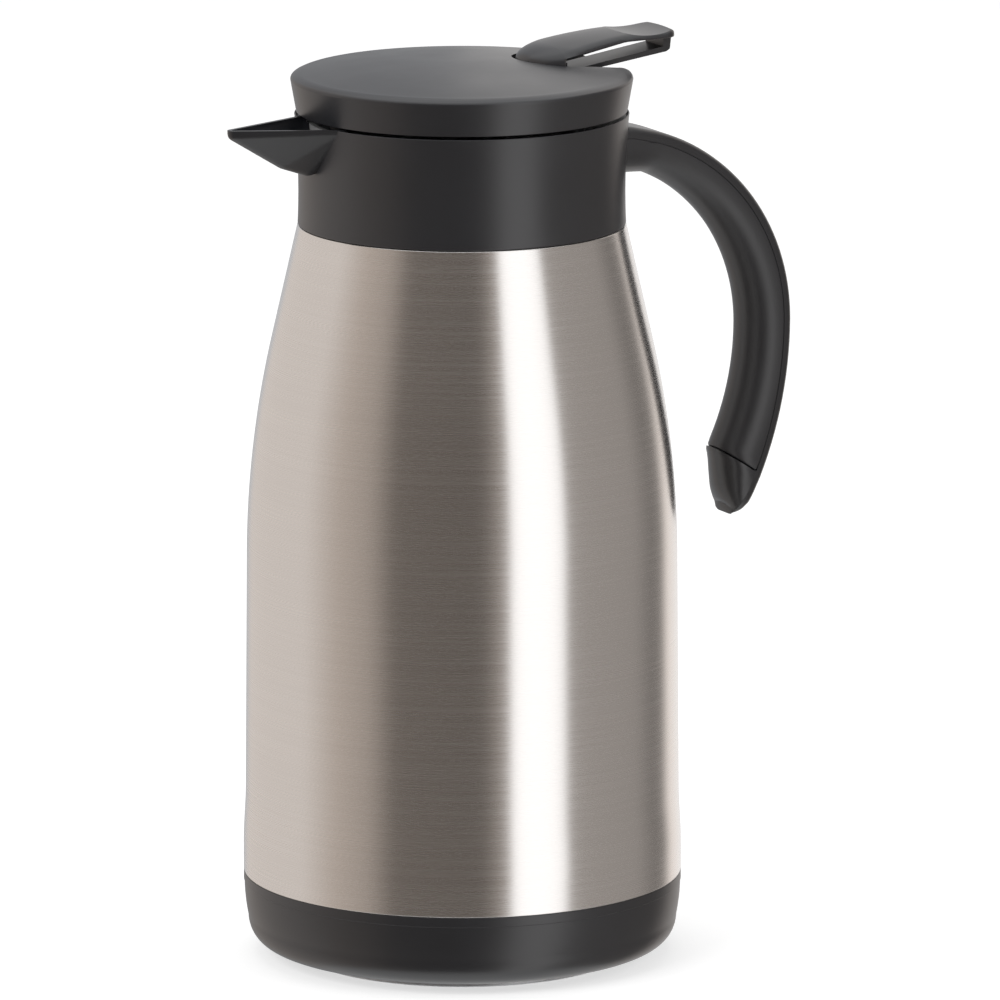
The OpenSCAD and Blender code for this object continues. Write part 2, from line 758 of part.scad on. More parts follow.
module handle_cuts() {
    collar_form(snug / 2, top_z, collar_top_z);
    for (s = [-1, 1])
        translate([0, 0, handle_screw_z + s * handle_screw_pitch / 2])
            rotate([0, 90, 0]) cylinder(r = handle_screw_r + snug, h = handle_screw_x + handle_screw_l + 0.5);
}

module handle_spine() {
    color(black) difference() {
        skin(concat(
            [full(root_stations[0]), full(root_stations[1])],
            [for (s = grip_stations) strip(s)],
            [full(kink)],
            [for (s = tip_stations) full(s)]
        ));
        handle_cuts();
    }
}

module handle_grip() {
    color(soft_black) difference() {
        skin([for (s = grip_stations) grip(s)]);
        handle_cuts();
    }
}

module handle_screws() {
    color(steel_grey)
        for (s = [-1, 1])
            translate([handle_screw_x, 0, handle_screw_z + s * handle_screw_pitch / 2])
                rotate([0, 90, 0]) {
                    cylinder(r = handle_screw_head_r, h = handle_screw_head_t);
                    cylinder(r = handle_screw_r, h = handle_screw_l);
                }
}

module plug_ring() {
    inner = plug_r - ring_groove + play;
    lip = mouth_r - gap;
    z = ring_z + play;
    h = ring_h - 2 * play;
    color(rubber_grey) revolve([
        [inner, z], [plug_r, z], [lip, z + h * 0.3], [plug_r, z + h * 0.5], [lip, z + h * 0.8],
        [plug_r, z + h], [inner, z + h]
    ]);
}

// The stopper's cup, whose posts carry the plate
module plug() {
    color(black) difference() {
        revolve([
            [0, plug_floor_z], [plug_r - 0.8, plug_floor_z], [plug_r, plug_floor_z + 0.8],
            [plug_r, ring_z], [plug_r - ring_groove, ring_z], [plug_r - ring_groove, ring_z + ring_h],
            [plug_r, ring_z + ring_h], [plug_r, shoulder_z], [plug_r + plug_shoulder_w, shoulder_z],
            [plug_r + plug_shoulder_w, window_z], [plug_r, window_z], [plug_r, plate_z], [0, plate_z]
        ]);
        translate([0, 0, seat_z]) cylinder(r = plug_inner_r, h = plate_z);
        for (i = [0:window_count - 1])
            rotate([0, 0, 360 * (i + 0.5) / window_count])
                translate([plug_inner_r / 2, -window_w / 2, window_z])
                    cube([plug_r, window_w, window_h + 1]);
        translate([0, 0, plug_floor_z - 1]) cylinder(r = seat_hole_r, h = seat_t + 2);
    }
}
window_w = 2 * plug_inner_r * sin(180 / window_count) - post_w;

// The plate over the stopper, with the guide for the stem
module plug_plate() {
    rim_r = plug_inner_r - snug;
    guide_z = plate_z - guide_drop;
    color(black) difference() {
        union() {
            translate([0, 0, plate_z]) cylinder(r = plate_r, h = plate_t);
            ring(rim_r - plate_rim_w, rim_r, plate_z - plate_rim_h, plate_rim_h + plate_t / 2);
            translate([0, 0, guide_z]) cylinder(r = stem_r + play + guide_wall, h = guide_drop + plate_t / 2);
        }
        translate([0, 0, guide_z - 1]) cylinder(r = stem_r + play, h = guide_drop + plate_t + 2);
        for (a = lid_screw_angles)
            rotate([0, 0, a]) translate([lid_screw_circle, 0, plate_z - 1])
                cylinder(r = lid_screw_r + snug, h = plate_t + 2);
    }
}
lid_screw_angles = [for (i = [0:lid_screw_count - 1]) 60 + 360 * i / lid_screw_count];

module drip_seal() {
    inner = plate_r + play;
    outer = plate_r + drip_seal_w;
    color(rubber_grey) ring(inner, outer, plate_z, plate_t);
}

// The outside of the cap, moved in by a wall
module cap_form(inset, low) {
    top_r = cap_flat_r;
    revolve([
        [0, low],
        [cap_r - inset, low],
        [cap_wide_r - inset, cap_wide_z],
        for (i = [1:5])
            [cap_flat_r + (cap_edge_r - inset) * cos(18 * i), cap_wide_z + (cap_edge_r - inset) * sin(18 * i)],
        for (i = [1:dome_steps])
            let (r = top_r * (1 - i / dome_steps))
            [r, dome_z(r) - inset]
    ]);
}

// Round front of the lever and of the trough that it lies in, seen from above
function nose_points(x, arc, half) = [
    for (i = [-8:8])
        let (a = asin(half / arc) * i / 8)
        [x + arc * (1 - cos(a)), arc * sin(a)]
];
module nose_plan(x, arc, half, back) {
    polygon(concat(nose_points(x, arc, half), [[back, half], [back, -half]]));
}

module trough_solid() {
    // Walls of the trough, its floor behind the well, and the cheeks for the pin
    translate([0, 0, apex_z - trough_lip]) linear_extrude(height = trough_lip)
        nose_plan(trough_x - trough_wall, trough_arc + trough_wall, trough_half_w + trough_wall, cap_wide_r);
    translate([well_end_x - trough_wall, -trough_half_w - trough_wall, trough_top_z - trough_floor_t])
        cube([cap_wide_r, 2 * (trough_half_w + trough_wall), trough_floor_t + dome_h]);
    for (s = [-1, 1])
        translate([pivot_x - cheek_x, s * (trough_half_w + trough_wall / 2) - trough_wall / 2 - (s < 0 ? 1 : 0), pivot_z - cheek_drop])
            cube([2 * cheek_x, trough_wall + 1, apex_z - pivot_z + cheek_drop]);
}

module lid_cap() {
    color(black) difference() {
        union() {
            difference() {
                cap_form(0, cap_z);
                cap_form(cap_wall, cap_z - 1);
            }
            intersection() {
                cap_form(0, cap_z);
                trough_solid();
            }
            intersection() {
                cap_form(cap_wall / 2, plate_top_z);
                for (a = lid_screw_angles)
                    rotate([0, 0, a]) translate([lid_screw_circle, 0, plate_top_z]) cylinder(r = lid_screw_r + 2, h = apex_z - plate_top_z);
            }
        }
        // The trough, open at the rear, and the well under the nose
        translate([0, 0, trough_top_z]) linear_extrude(height = apex_z)
            nose_plan(trough_x, trough_arc, trough_half_w, cap_wide_r + 5);
        translate([0, 0, cap_z - rim_h]) linear_extrude(height = apex_z)
            nose_plan(trough_x, trough_arc, trough_half_w, well_end_x);
        translate([pivot_x, 0, pivot_z]) rotate([90, 0, 0]) cylinder(r = pin_r + play / 2, h = pin_l + 10, center = true);
        for (a = lid_screw_angles)
            rotate([0, 0, a]) translate([lid_screw_circle, 0, plate_top_z - 1]) cylinder(r = lid_screw_r, h = lid_screw_bite + 1);
    }
}
lid_screw_bite = 7;

module lid_screws() {
    color(steel_grey)
        for (a = lid_screw_angles)
            rotate([0, 0, a]) translate([lid_screw_circle, 0, plate_z]) {
                translate([0, 0, -lid_screw_head_t]) cylinder(r = lid_screw_head_r, h = lid_screw_head_t);
                translate([0, 0, -1]) cylinder(r = lid_screw_r - snug, h = 1 + plate_t + lid_screw_bite - 1);
            }
}

module lever_pin() {
    color(steel_grey) translate([pivot_x, 0, pivot_z]) rotate([90, 0, 0]) cylinder(r = pin_r, h = pin_l, center = true);
}

// Half the width of the lever along its length
function lever_half(x) =
    let (nose_end = nose_x + nose_l)
    x < nose_end ? sqrt(max(0, pow(nose_arc, 2) - pow(nose_x + nose_arc - x, 2)))
    : x < pad_x ? nose_w / 2 - (nose_w - pad_w) / 2 * (x - nose_end) / (pad_x - nose_end)
    : x < thumb_x - pad_corner_r ? pad_w / 2
    : pad_w / 2 - pad_corner_r + sqrt(max(0, pow(pad_corner_r, 2) - pow(x - thumb_x + pad_corner_r, 2)));

// Height of the loop's underside along the lever, of the middle of the shell's top and of its underside
function plate_under(x) = pivot_z + plate_lift + plate_rise * (x - pivot_x);
function shell_top(x) =
    let (t = min(1, max(0, (x - nose_x - 2) / (pad_x - nose_x))))
    nose_top_z + nose_fall * (1 - pow(1 - t, 1.6)) + pad_rise * min(1, max(0, (x - pad_x) / pad_l));
function shell_under(x) = shell_top(x) - lever_shell_t - shell_swell * pow(x - shell_thin_x, 2);

// Fall of the rounded top edge at a distance from the outline
function edge_fall(d) =
    let (e = max(0, min(d, lever_edge_r)))
    lever_edge_r - sqrt(pow(lever_edge_r, 2) - pow(lever_edge_r - e, 2));

// A ring across the lever: flat below, crowned above, rounded towards its outline
function lever_ring(x, low) =
    let (half = lever_half(x), end_d = min(x - nose_x, thumb_x - x))
    concat(
        [[x, -half, low], [x, half, low]],
        [
            for (k = [6:-1:-6])
                let (y = half * sin(15 * k))
                [x, y, shell_top(x) - lever_crown * pow(2 * y / pad_w, 2) - edge_fall(min(half - abs(y), end_d))]
        ]
    );

module lever_shell() {
    block_end = pivot_x - block_back;
    shell_start = block_end + 0.4;
    nose_a = acos((nose_x + nose_arc - block_end) / nose_arc);
    skin(concat(
        [for (i = [1:7]) lever_ring(nose_x + nose_arc * (1 - cos(nose_a * i / 7)), plate_under(pivot_x))],
        [for (i = [0:10]) let (x = shell_start + (thumb_x - pad_corner_r - shell_start) * i / 10) lever_ring(x, shell_under(x))],
        [for (i = [1:5]) let (x = thumb_x - pad_corner_r * (1 - sin(17 * i))) lever_ring(x, shell_under(x))]
    ));
}

// Side view of the loop: the neck over the pivot, the lower plate and the rear wall
module loop_profile() {
    neck_x = pivot_x - 4;
    window_x = pivot_x + window_start;
    window_back = thumb_x - window_end;
    difference() {
        polygon([
            [pivot_x, plate_under(pivot_x)],
            [neck_x, plate_under(pivot_x)],
            for (i = [0:8]) let (x = neck_x + (thumb_x - 1 - neck_x) * i / 8) [x, (shell_top(x) + shell_under(x)) / 2],
            [thumb_x - 0.3, shell_under(thumb_x)],
            [thumb_x - 0.3, plate_under(thumb_x) + 1.2],
            [thumb_x - 1.8, plate_under(thumb_x - 1.5)]
        ]);
        polygon([
            [window_x, plate_under(window_x) + lever_plate_t],
            [window_back, plate_under(window_back) + lever_plate_t],
            for (i = [6:-1:0]) let (x = window_x + (window_back - window_x) * i / 6) [x, shell_under(x)]
        ]);
    }
}

module lever() {
    color(black) difference() {
        union() {
            lever_shell();
            rotate([90, 0, 0]) linear_extrude(height = loop_w, center = true) loop_profile();
            translate([pivot_x, 0, pivot_z]) rotate([90, 0, 0]) cylinder(r = hub_r, h = hub_w, center = true);
            // Boss for the arm's screw
            translate([arm_screw_x - 2.2, -arm_w / 2, arm_z + arm_t])
                cube([pivot_x - arm_screw_x + 4, arm_w, plate_under(pivot_x) + 1 - arm_z - arm_t]);
        }
        translate([pivot_x, 0, pivot_z]) rotate([90, 0, 0]) cylinder(r = pin_r + play, h = nose_w + 10, center = true);
        translate([arm_screw_x, 0, arm_z]) cylinder(r = arm_screw_r + snug / 2, h = arm_t + arm_screw_l);
    }
}

module rocker_arm() {
    slot = 2 * (stem_r + 0.5);
    color("dimgray") difference() {
        union() {
            translate([arm_front_x, -arm_w / 2, arm_z]) cube([arm_back_x - arm_front_x, arm_w, arm_t]);
            translate([0, 0, crown_z]) rotate([90, 0, 0]) cylinder(r = crown_r, h = arm_w, center = true);
        }
        translate([arm_front_x - 5, -slot / 2, arm_z - 10]) cube([5 - arm_front_x + stem_r + 2, slot, 20]);
        translate([arm_screw_x, 0, arm_z - 1]) cylinder(r = arm_screw_r + snug, h = arm_t + 2);
    }
}

module arm_screw() {
    color(steel_grey) translate([arm_screw_x, 0, arm_z]) {
        translate([0, 0, -arm_screw_head_t]) cylinder(r = arm_screw_head_r, h = arm_screw_head_t);
        translate([0, 0, -1]) cylinder(r = arm_screw_r, h = arm_screw_l);
    }
}

module valve_stem() {
    color(steel_grey) {
        translate([0, 0, valve_seal_z - stem_foot_t]) cylinder(r = stem_r + 3, h = stem_foot_t);
        translate([0, 0, valve_seal_z - 0.5]) cylinder(r = stem_r, h = head_z + head_t - valve_seal_z + 0.5);
    }
}

module stem_head() {
    color(steel_grey) ring(stem_r + snug / 2, head_r, head_z, head_t);
}

module valve_disc() {
    color(black) ring(stem_r + snug / 2, disc_r, disc_z, disc_t);
}

module valve_seal() {
    color(rubber_grey) ring(stem_r + snug / 2, valve_seal_r, valve_seal_z, valve_seal_t);
}

module disc_clip() {
    color(steel_grey) difference() {
        ring(stem_r + snug / 2, stem_r + 2.4, clip_z, clip_t);
        translate([0, -stem_r * 0.7, clip_z - 1]) cube([stem_r + 4, stem_r * 1.4, clip_t + 2]);
    }
}

// A compression spring whose end turns lie flat: a round wire swept along a helix
module valve_spring() {
    wire_r = wire_d / 2;
    steps = 20;
    sides = 6;
    low = spring_foot_z + wire_r;
    high = spring_top_z - wire_r;
    pitch = (high - low) / coil_turns;
    rings = [
        for (i = [0:steps * coil_turns])
            let (a = 360 * i / steps, z = low + pitch * i / steps)
            [for (k = [0:sides - 1])
                let (b = -360 * k / sides, r = coil_r + wire_r * cos(b))
                [r * cos(a), r * sin(a), z + wire_r * sin(b)]]
    ];
    echo(spring_gap_between_turns = pitch - wire_d);
    color(steel_grey) skin(rings);
}

foot_pad();
base_cup();
outer_shell();
shell_bottom();
seal_disc();
getter_clip();
getter_pellet();
shell_neck();
inner_liner();
liner_floor();
collar();
collar_seal();
neck_nut();
handle_spine();
handle_grip();
handle_screws();
plug_ring();
plug();
plug_plate();
drip_seal();
lid_cap();
lid_screws();
lever_pin();
valve_spring();
lever();
rocker_arm();
arm_screw();
valve_stem();
stem_head();
valve_disc();
valve_seal();
disc_clip();
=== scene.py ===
"""Dresses the solids of a thermal carafe: smooth outer pieces, finishes and a plain studio."""

import json
import math

import bpy
from bpy.props import FloatProperty, FloatVectorProperty, PointerProperty
from mathutils import Euler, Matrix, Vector


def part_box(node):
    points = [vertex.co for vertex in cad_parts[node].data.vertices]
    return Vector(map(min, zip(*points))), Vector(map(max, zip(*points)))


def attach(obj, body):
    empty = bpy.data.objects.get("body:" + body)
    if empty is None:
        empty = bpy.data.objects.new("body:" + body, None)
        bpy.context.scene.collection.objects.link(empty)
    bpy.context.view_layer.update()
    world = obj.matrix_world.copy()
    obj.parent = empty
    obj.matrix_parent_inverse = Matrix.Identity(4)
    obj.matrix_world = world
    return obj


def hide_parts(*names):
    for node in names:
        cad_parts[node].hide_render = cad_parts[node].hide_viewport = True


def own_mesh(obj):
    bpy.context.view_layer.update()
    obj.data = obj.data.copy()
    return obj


bl_info = {
    "name": "Thermal carafe",
    "version": (1, 0, 0),
    "blender": (4, 5, 0),
    "location": "3D View > Sidebar > Carafe",
    "description": "Models the outer pieces of a steel carafe with a levered lid, and its studio",
    "category": "Add Mesh",
}

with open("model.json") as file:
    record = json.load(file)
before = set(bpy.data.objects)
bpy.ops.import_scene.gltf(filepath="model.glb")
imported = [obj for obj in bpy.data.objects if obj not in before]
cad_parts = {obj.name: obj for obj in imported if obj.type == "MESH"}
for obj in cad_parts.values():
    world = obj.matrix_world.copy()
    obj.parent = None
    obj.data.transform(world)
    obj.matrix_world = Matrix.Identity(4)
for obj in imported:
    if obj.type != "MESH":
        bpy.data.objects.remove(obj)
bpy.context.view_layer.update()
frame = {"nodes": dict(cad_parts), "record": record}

MM = 0.001
TURN_STEPS = 128
POINT_SIZE = 0.0001
MERGE_DISTANCE = 0.000002

# Seats that the pieces take from the solids
BASE_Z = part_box("base_cup")[0].z
LEDGE_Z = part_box("outer_shell")[0].z
SEAM_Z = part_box("base_cup")[1].z
COLLAR_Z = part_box("collar")[0].z
COLLAR_TOP_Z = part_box("collar")[1].z
RING_TOP_Z = COLLAR_TOP_Z - 0.25 * MM
POST_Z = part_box("lid_cap")[0].z
CAP_TOP_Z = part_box("lid_cap")[1].z
LEVER_TOP_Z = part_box("lever")[1].z
PIN_Z = (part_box("lever_pin")[0].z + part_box("lever_pin")[1].z) / 2

PIN_BORE = 1.56 * MM
PAD_CORNER = 4 * MM
THIRDS = tuple(math.radians(angle) for angle in (30, 60, 90))


# ------------------------------------------------------------------ sizes and colours


def length(description, default):
    """A size in metres."""
    return FloatProperty(
        description=description, default=default, unit="LENGTH", subtype="DISTANCE", precision=4
    )


def colour(description, default):
    """A plain colour."""
    return FloatVectorProperty(
        description=description, default=default, size=3, subtype="COLOR", min=0, max=1
    )


def share(description, default):
    """A value from 0 to 1."""
    return FloatProperty(description=description, default=default, min=0, max=1, subtype="FACTOR")


def spot(description, default):
    """A place in the scene."""
    return FloatVectorProperty(description=description, default=default, subtype="TRANSLATION", unit="LENGTH")


def power(description, default):
    """The power of a light."""
    return FloatProperty(description=description, default=default, min=0, unit="POWER")


class CarafeFlask(bpy.types.PropertyGroup):
    """Sizes of the steel flask and its base cup."""

    foot_radius: length("Radius of the steel at its foot", 0.065)
    low_radius: length("Radius above the flared foot", 0.0643)
    waist_radius: length("Radius where the shoulder starts", 0.0637)
    top_radius: length("Radius of the steel under the collar", 0.0484)
    straight_height: length("Height of the wall below the shoulder", 0.0934)
    shoulder_radius: length("Radius of the long curve of the shoulder", 0.3)
    foot_band: length("Height of the upright band at the foot", 0.008)
    foot_flare: length("Height of the flare over that band", 0.0184)
    wall: length("Thickness of the steel", 0.0008)
    skirt_radius: length("Radius of the skirt inside the base cup", 0.0617)
    cup_wall: length("Thickness of the base cup", 0.0032)
    cup_round_width: length("Width of the rounding under the base cup", 0.0067)
    cup_round_height: length("Height of that rounding", 0.008)
    cup_band: length("Height of the band at the top of the base cup", 0.003)
    pad_radius: length("Radius of the foot pad", 0.05)


class CarafeCollar(bpy.types.PropertyGroup):
    """Sizes of the collar and its spout."""

    foot_radius: length("Radius of the collar at its foot", 0.0483)
    flare: length("How much wider the collar is at its top", 0.0009)
    waist: length("How far it is drawn in at half height", 0.0006)
    wall: length("Thickness of the collar", 0.0023)
    foot_round: length("Rounding of the foot", 0.0007)
    floor_height: length("Underside of the collar's floor over its foot", 0.007)
    floor_thickness: length("Thickness of the floor", 0.0022)
    bore: length("Radius of the bore for the neck", 0.0381)
    sleeve: length("Thickness of the sleeve round the bore", 0.002)
    spout_reach: length("Distance of the tip from the axis", 0.0758)
    spout_half_width: length("Half width at the collar", 0.0146)
    spout_depth: length("Depth of the V at the collar", 0.0154)
    spout_tip: length("Depth of the lip at the tip", 0.0032)
    spout_lip: length("Radius of the lip at the tip", 0.0019)
    spout_wall: length("Thickness of the spout", 0.0012)


class CarafeHandle(bpy.types.PropertyGroup):
    """Sizes of the handle."""

    width: length("Width of the handle", 0.02)
    edge: length("Radius of the outer edges", 0.003)
    belly: length("Depth of the rounding of the inner face", 0.0102)
    spine: length("Thickness of the spine", 0.0032)
    reach: length("How far it stands out from the collar's foot", 0.0571)
    depth: length("Depth from outer to inner face", 0.0139)
    drop: length("Depth at which the outer face stands out most", 0.036)
    inner_drop: length("Depth at which the inner face stands out most", 0.0379)
    root_top: length("Top of the root over the collar's foot", 0.0262)
    root_height: length("Height of the root", 0.0152)
    low_radius: length("Radius of the outer face's lower arc", 0.119)
    inner_low_radius: length("Radius of the inner face's lower arc", 0.081)
    beak: length("Length of the beak under the grip", 0.0184)


class CarafeLid(bpy.types.PropertyGroup):
    """Sizes of the lid cap and its lever."""

    radius: length("Radius of the cap at its lower edge", 0.0487)
    flare: length("How far the cap flares out", 0.0016)
    edge: length("Rounding of the top edge", 0.003)
    dome: length("Height of the dome over the rim", 0.0029)
    wall: length("Thickness of the cap", 0.002)
    pivot: length("Distance of the lever's pivot from the axis", 0.028)
    nose: length("Distance of the nose's tip from the axis", 0.019)
    nose_width: length("Width of the lever at its nose", 0.026)
    nose_arc: length("Radius of the nose, seen from above", 0.014001)
    pad_width: length("Width of the thumb pad", 0.02)
    pad_length: length("Length of the thumb pad", 0.0175)
    thumb_end: length("Distance of the thumb end from the axis", 0.0665)
    gap: length("Gap round the lever", 0.001)
    seam: length("Gap between the collar and the cap", 0.0006)
    crown: length("How far the sides of the lever's top fall", 0.001)
    nose_fall: length("How far the nose lies below the thumb pad", 0.0041)
    shell: length("Thickness of the lever's shell at its rear", 0.0026)
    window: length("Height of the window between the loop's plate and the shell", 0.0051)
    loop_width: length("Width of the loop under the shell", 0.0115)
    plate: length("Thickness of the loop's lower plate", 0.0017)
    dish_depth: length("Depth of the dish for the thumb", 0.0013)
    dish_radius: length("Radius of that dish along the lever", 0.031)


class CarafeFinish(bpy.types.PropertyGroup):
    """Colours and gloss."""

    plastic: colour("Colour of the collar, lid, lever and base", (0.017, 0.0178, 0.021))
    grip: colour("Colour of the grip", (0.0165, 0.0172, 0.0205))
    inner: colour("Colour of the arm and the valve disc", (0.06, 0.06, 0.065))
    steel: colour("Colour of the brushed steel", (0.86, 0.85, 0.84))
    pad: colour("Colour of the foot pad", (0.86, 0.87, 0.9))
    silicone: colour("Colour of the seals", (0.3, 0.3, 0.3))
    getter: colour("Colour of the getter pellet", (0.2, 0.2, 0.21))
    plastic_gloss: share("Roughness of the black plastic", 0.34)
    steel_gloss: share("Roughness of the brushed steel", 0.27)
    brushing: share("How strongly the brushing stretches the shine", 0.8)


class CarafeStudio(bpy.types.PropertyGroup):
    """Camera and lights."""

    lens: FloatProperty(description="Focal length in millimetres", default=393.4, min=50)
    camera: spot("Place of the camera", (-1.401, -2.835, 0.7886))
    target: spot("Point in the middle of the picture", (0.01004, -0.00496, 0.1358))
    key: power("Power of the light at the left", 26.0)
    fill: power("Power of the light at the right", 14.0)
    top: power("Power of the light overhead", 16.0)
    sky: FloatProperty(description="Strength of the even light from all round", default=0.45, min=0)
    wall_radius: length("Radius of the wall that the steel reflects", 0.3)
    wall_height: length("Height of that wall", 0.9)


GROUPS = {
    "carafe_flask": CarafeFlask,
    "carafe_collar": CarafeCollar,
    "carafe_handle": CarafeHandle,
    "carafe_lid": CarafeLid,
    "carafe_finish": CarafeFinish,
    "carafe_studio": CarafeStudio,
}


# ------------------------------------------------------------------ modelling by hand


def let_go():
    """Deselects everything, in object mode."""
    active = bpy.context.view_layer.objects.active
    if active and active.mode != "OBJECT":
        bpy.ops.object.mode_set(mode="OBJECT")
    bpy.ops.object.select_all(action="DESELECT")


def take(piece):
    """Selects one piece alone and makes it active."""
    let_go()
    piece.select_set(True)
    bpy.context.view_layer.objects.active = piece


def draw(points):
    """Draws a line on from the selected point, by extruding it from place to place."""
    for here, there in zip(points, points[1:]):
        step = Vector(there) - Vector(here)
        bpy.ops.mesh.extrude_region_move(TRANSFORM_OT_translate={"value": step})


def start(points):
    """Starts a new mesh with a drawn line and leaves it in edit mode."""
    let_go()
    bpy.ops.mesh.primitive_plane_add(size=POINT_SIZE, enter_editmode=True, location=(0, 0, 0))
    bpy.ops.mesh.merge(type="CENTER")
    bpy.ops.transform.translate(value=points[0])
    draw(points)
    return bpy.context.active_object


def add_line(points):
    """Draws another line in the mesh that is in edit mode."""
    bpy.ops.mesh.select_all(action="DESELECT")
    bpy.ops.mesh.primitive_plane_add(size=POINT_SIZE, location=points[0])
    bpy.ops.mesh.merge(type="CENTER")
    draw(points)


def merge_doubles():
    """Merges points in one place and selects everything, in edit mode."""
    bpy.ops.mesh.select_all(action="SELECT")
    bpy.ops.mesh.remove_doubles(threshold=MERGE_DISTANCE)
    bpy.ops.mesh.select_all(action="SELECT")


def weld():
    """Merges doubles, turns all faces outwards and leaves edit mode."""
    merge_doubles()
    bpy.ops.mesh.normals_make_consistent(inside=False)
    bpy.ops.object.mode_set(mode="OBJECT")


def closed(points):
    """A line that returns to its first point."""
    return list(points) + [points[0]]


def turned(profile):
    """A solid turned round the axis from [radius, height] points. A profile off the axis is drawn closed."""
    piece = start([(r, 0, z) for r, z in profile])
    merge_doubles()
    bpy.ops.mesh.spin(steps=TURN_STEPS, angle=math.tau, center=(0, 0, 0), axis=(0, 0, 1))
    weld()
    return piece


def prism(outline, move):
    """A block: a closed outline, filled and extruded."""
    piece = start(closed(outline))
    merge_doubles()
    bpy.ops.mesh.edge_face_add()
    bpy.ops.mesh.extrude_region_move(TRANSFORM_OT_translate={"value": move})
    weld()
    return piece


def loft(rings):
    """A solid skinned over closed rings with equal numbers of points, and closed at both ends."""
    piece = start(closed(rings[0]))
    for ring in rings[1:]:
        add_line(closed(ring))
    merge_doubles()
    bpy.ops.mesh.bridge_edge_loops()
    bpy.ops.mesh.select_all(action="DESELECT")
    bpy.ops.mesh.select_mode(type="EDGE")
    bpy.ops.mesh.select_non_manifold(
        extend=False,
        use_wire=False,
        use_boundary=True,
        use_multi_face=False,
        use_non_contiguous=False,
        use_verts=False,
    )
    bpy.ops.mesh.fill_holes(sides=0)
    bpy.ops.mesh.select_mode(type="VERT")
    weld()
    return piece


def cylinder(radius, depth, place, sides=48, rotation=(0, 0, 0)):
    """A plain cylinder, as a post or a cutter."""
    let_go()
    bpy.ops.mesh.primitive_cylinder_add(
        vertices=sides, radius=radius, depth=depth, location=place, rotation=rotation
    )
    bpy.ops.object.transform_apply(location=True, rotation=True, scale=False)
    return bpy.context.active_object


def apply_modifier(piece, name, kind, **settings):
    """Adds a modifier to the active piece and applies it."""
    step = piece.modifiers.new(name, kind)
    for key, value in settings.items():
        setattr(step, key, value)
    bpy.ops.object.modifier_apply(modifier=step.name)


def combine(piece, tool, operation):
    """Joins, cuts or crosses a piece with a tool, and removes the tool."""
    take(piece)
    apply_modifier(piece, "Combine", "BOOLEAN", operation=operation, solver="EXACT", object=tool)
    bpy.data.objects.remove(tool)
    return piece


def smooth(piece, angle=32):
    """Shades a piece smooth up to an angle, with flat faces kept flat."""
    take(piece)
    bpy.ops.object.shade_smooth_by_angle(angle=math.radians(angle))
    apply_modifier(piece, "Flat faces", "WEIGHTED_NORMAL", keep_sharp=True)


def hand_over(piece, name, body, slot, *nodes):
    """Names a finished piece, gives it its finish and its body, and hides the solids that it stands for."""
    piece.name = name
    piece.data.name = name
    piece.data.materials.clear()
    piece.data.materials.append(finish_of(slot))
    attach(piece, body)
    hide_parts(*nodes)
    let_go()


def quarter(centre, radius, start_angle, end_angle, steps=5):
    """Points on an arc in a profile, angles in degrees."""
    turns = [math.radians(start_angle + (end_angle - start_angle) * i / steps) for i in range(steps + 1)]
    return [(centre[0] + radius * math.cos(a), centre[1] + radius * math.sin(a)) for a in turns]


# ------------------------------------------------------------------ finishes


class Nodes:
    """Lays out the nodes of a material or of the sky."""

    def __init__(self, owner, bare=True):
        owner.use_nodes = True
        self.owner = owner
        self.tree = owner.node_tree
        if bare:
            self.tree.nodes.clear()

    def add(self, kind, **settings):
        node = self.tree.nodes.new(kind)
        for key, value in settings.items():
            setattr(node, key, value)
        return node

    def link(self, source, target):
        self.tree.links.new(source, target)

    def reckon(self, operation, first, second):
        """Two values added, multiplied or compared. The second may be a plain number."""
        node = self.add("ShaderNodeMath", operation=operation)
        self.link(first, node.inputs[0])
        if isinstance(second, float):
            node.inputs[1].default_value = second
        else:
            self.link(second, node.inputs[1])
        return node.outputs[0]

    def seen_rays(self):
        """1 for rays from the camera, from gloss and through glass, else 0."""
        path = self.add("ShaderNodeLightPath").outputs
        first = self.reckon("MAXIMUM", path["Is Camera Ray"], path["Is Glossy Ray"])
        return self.reckon("MAXIMUM", first, path["Is Transmission Ray"])


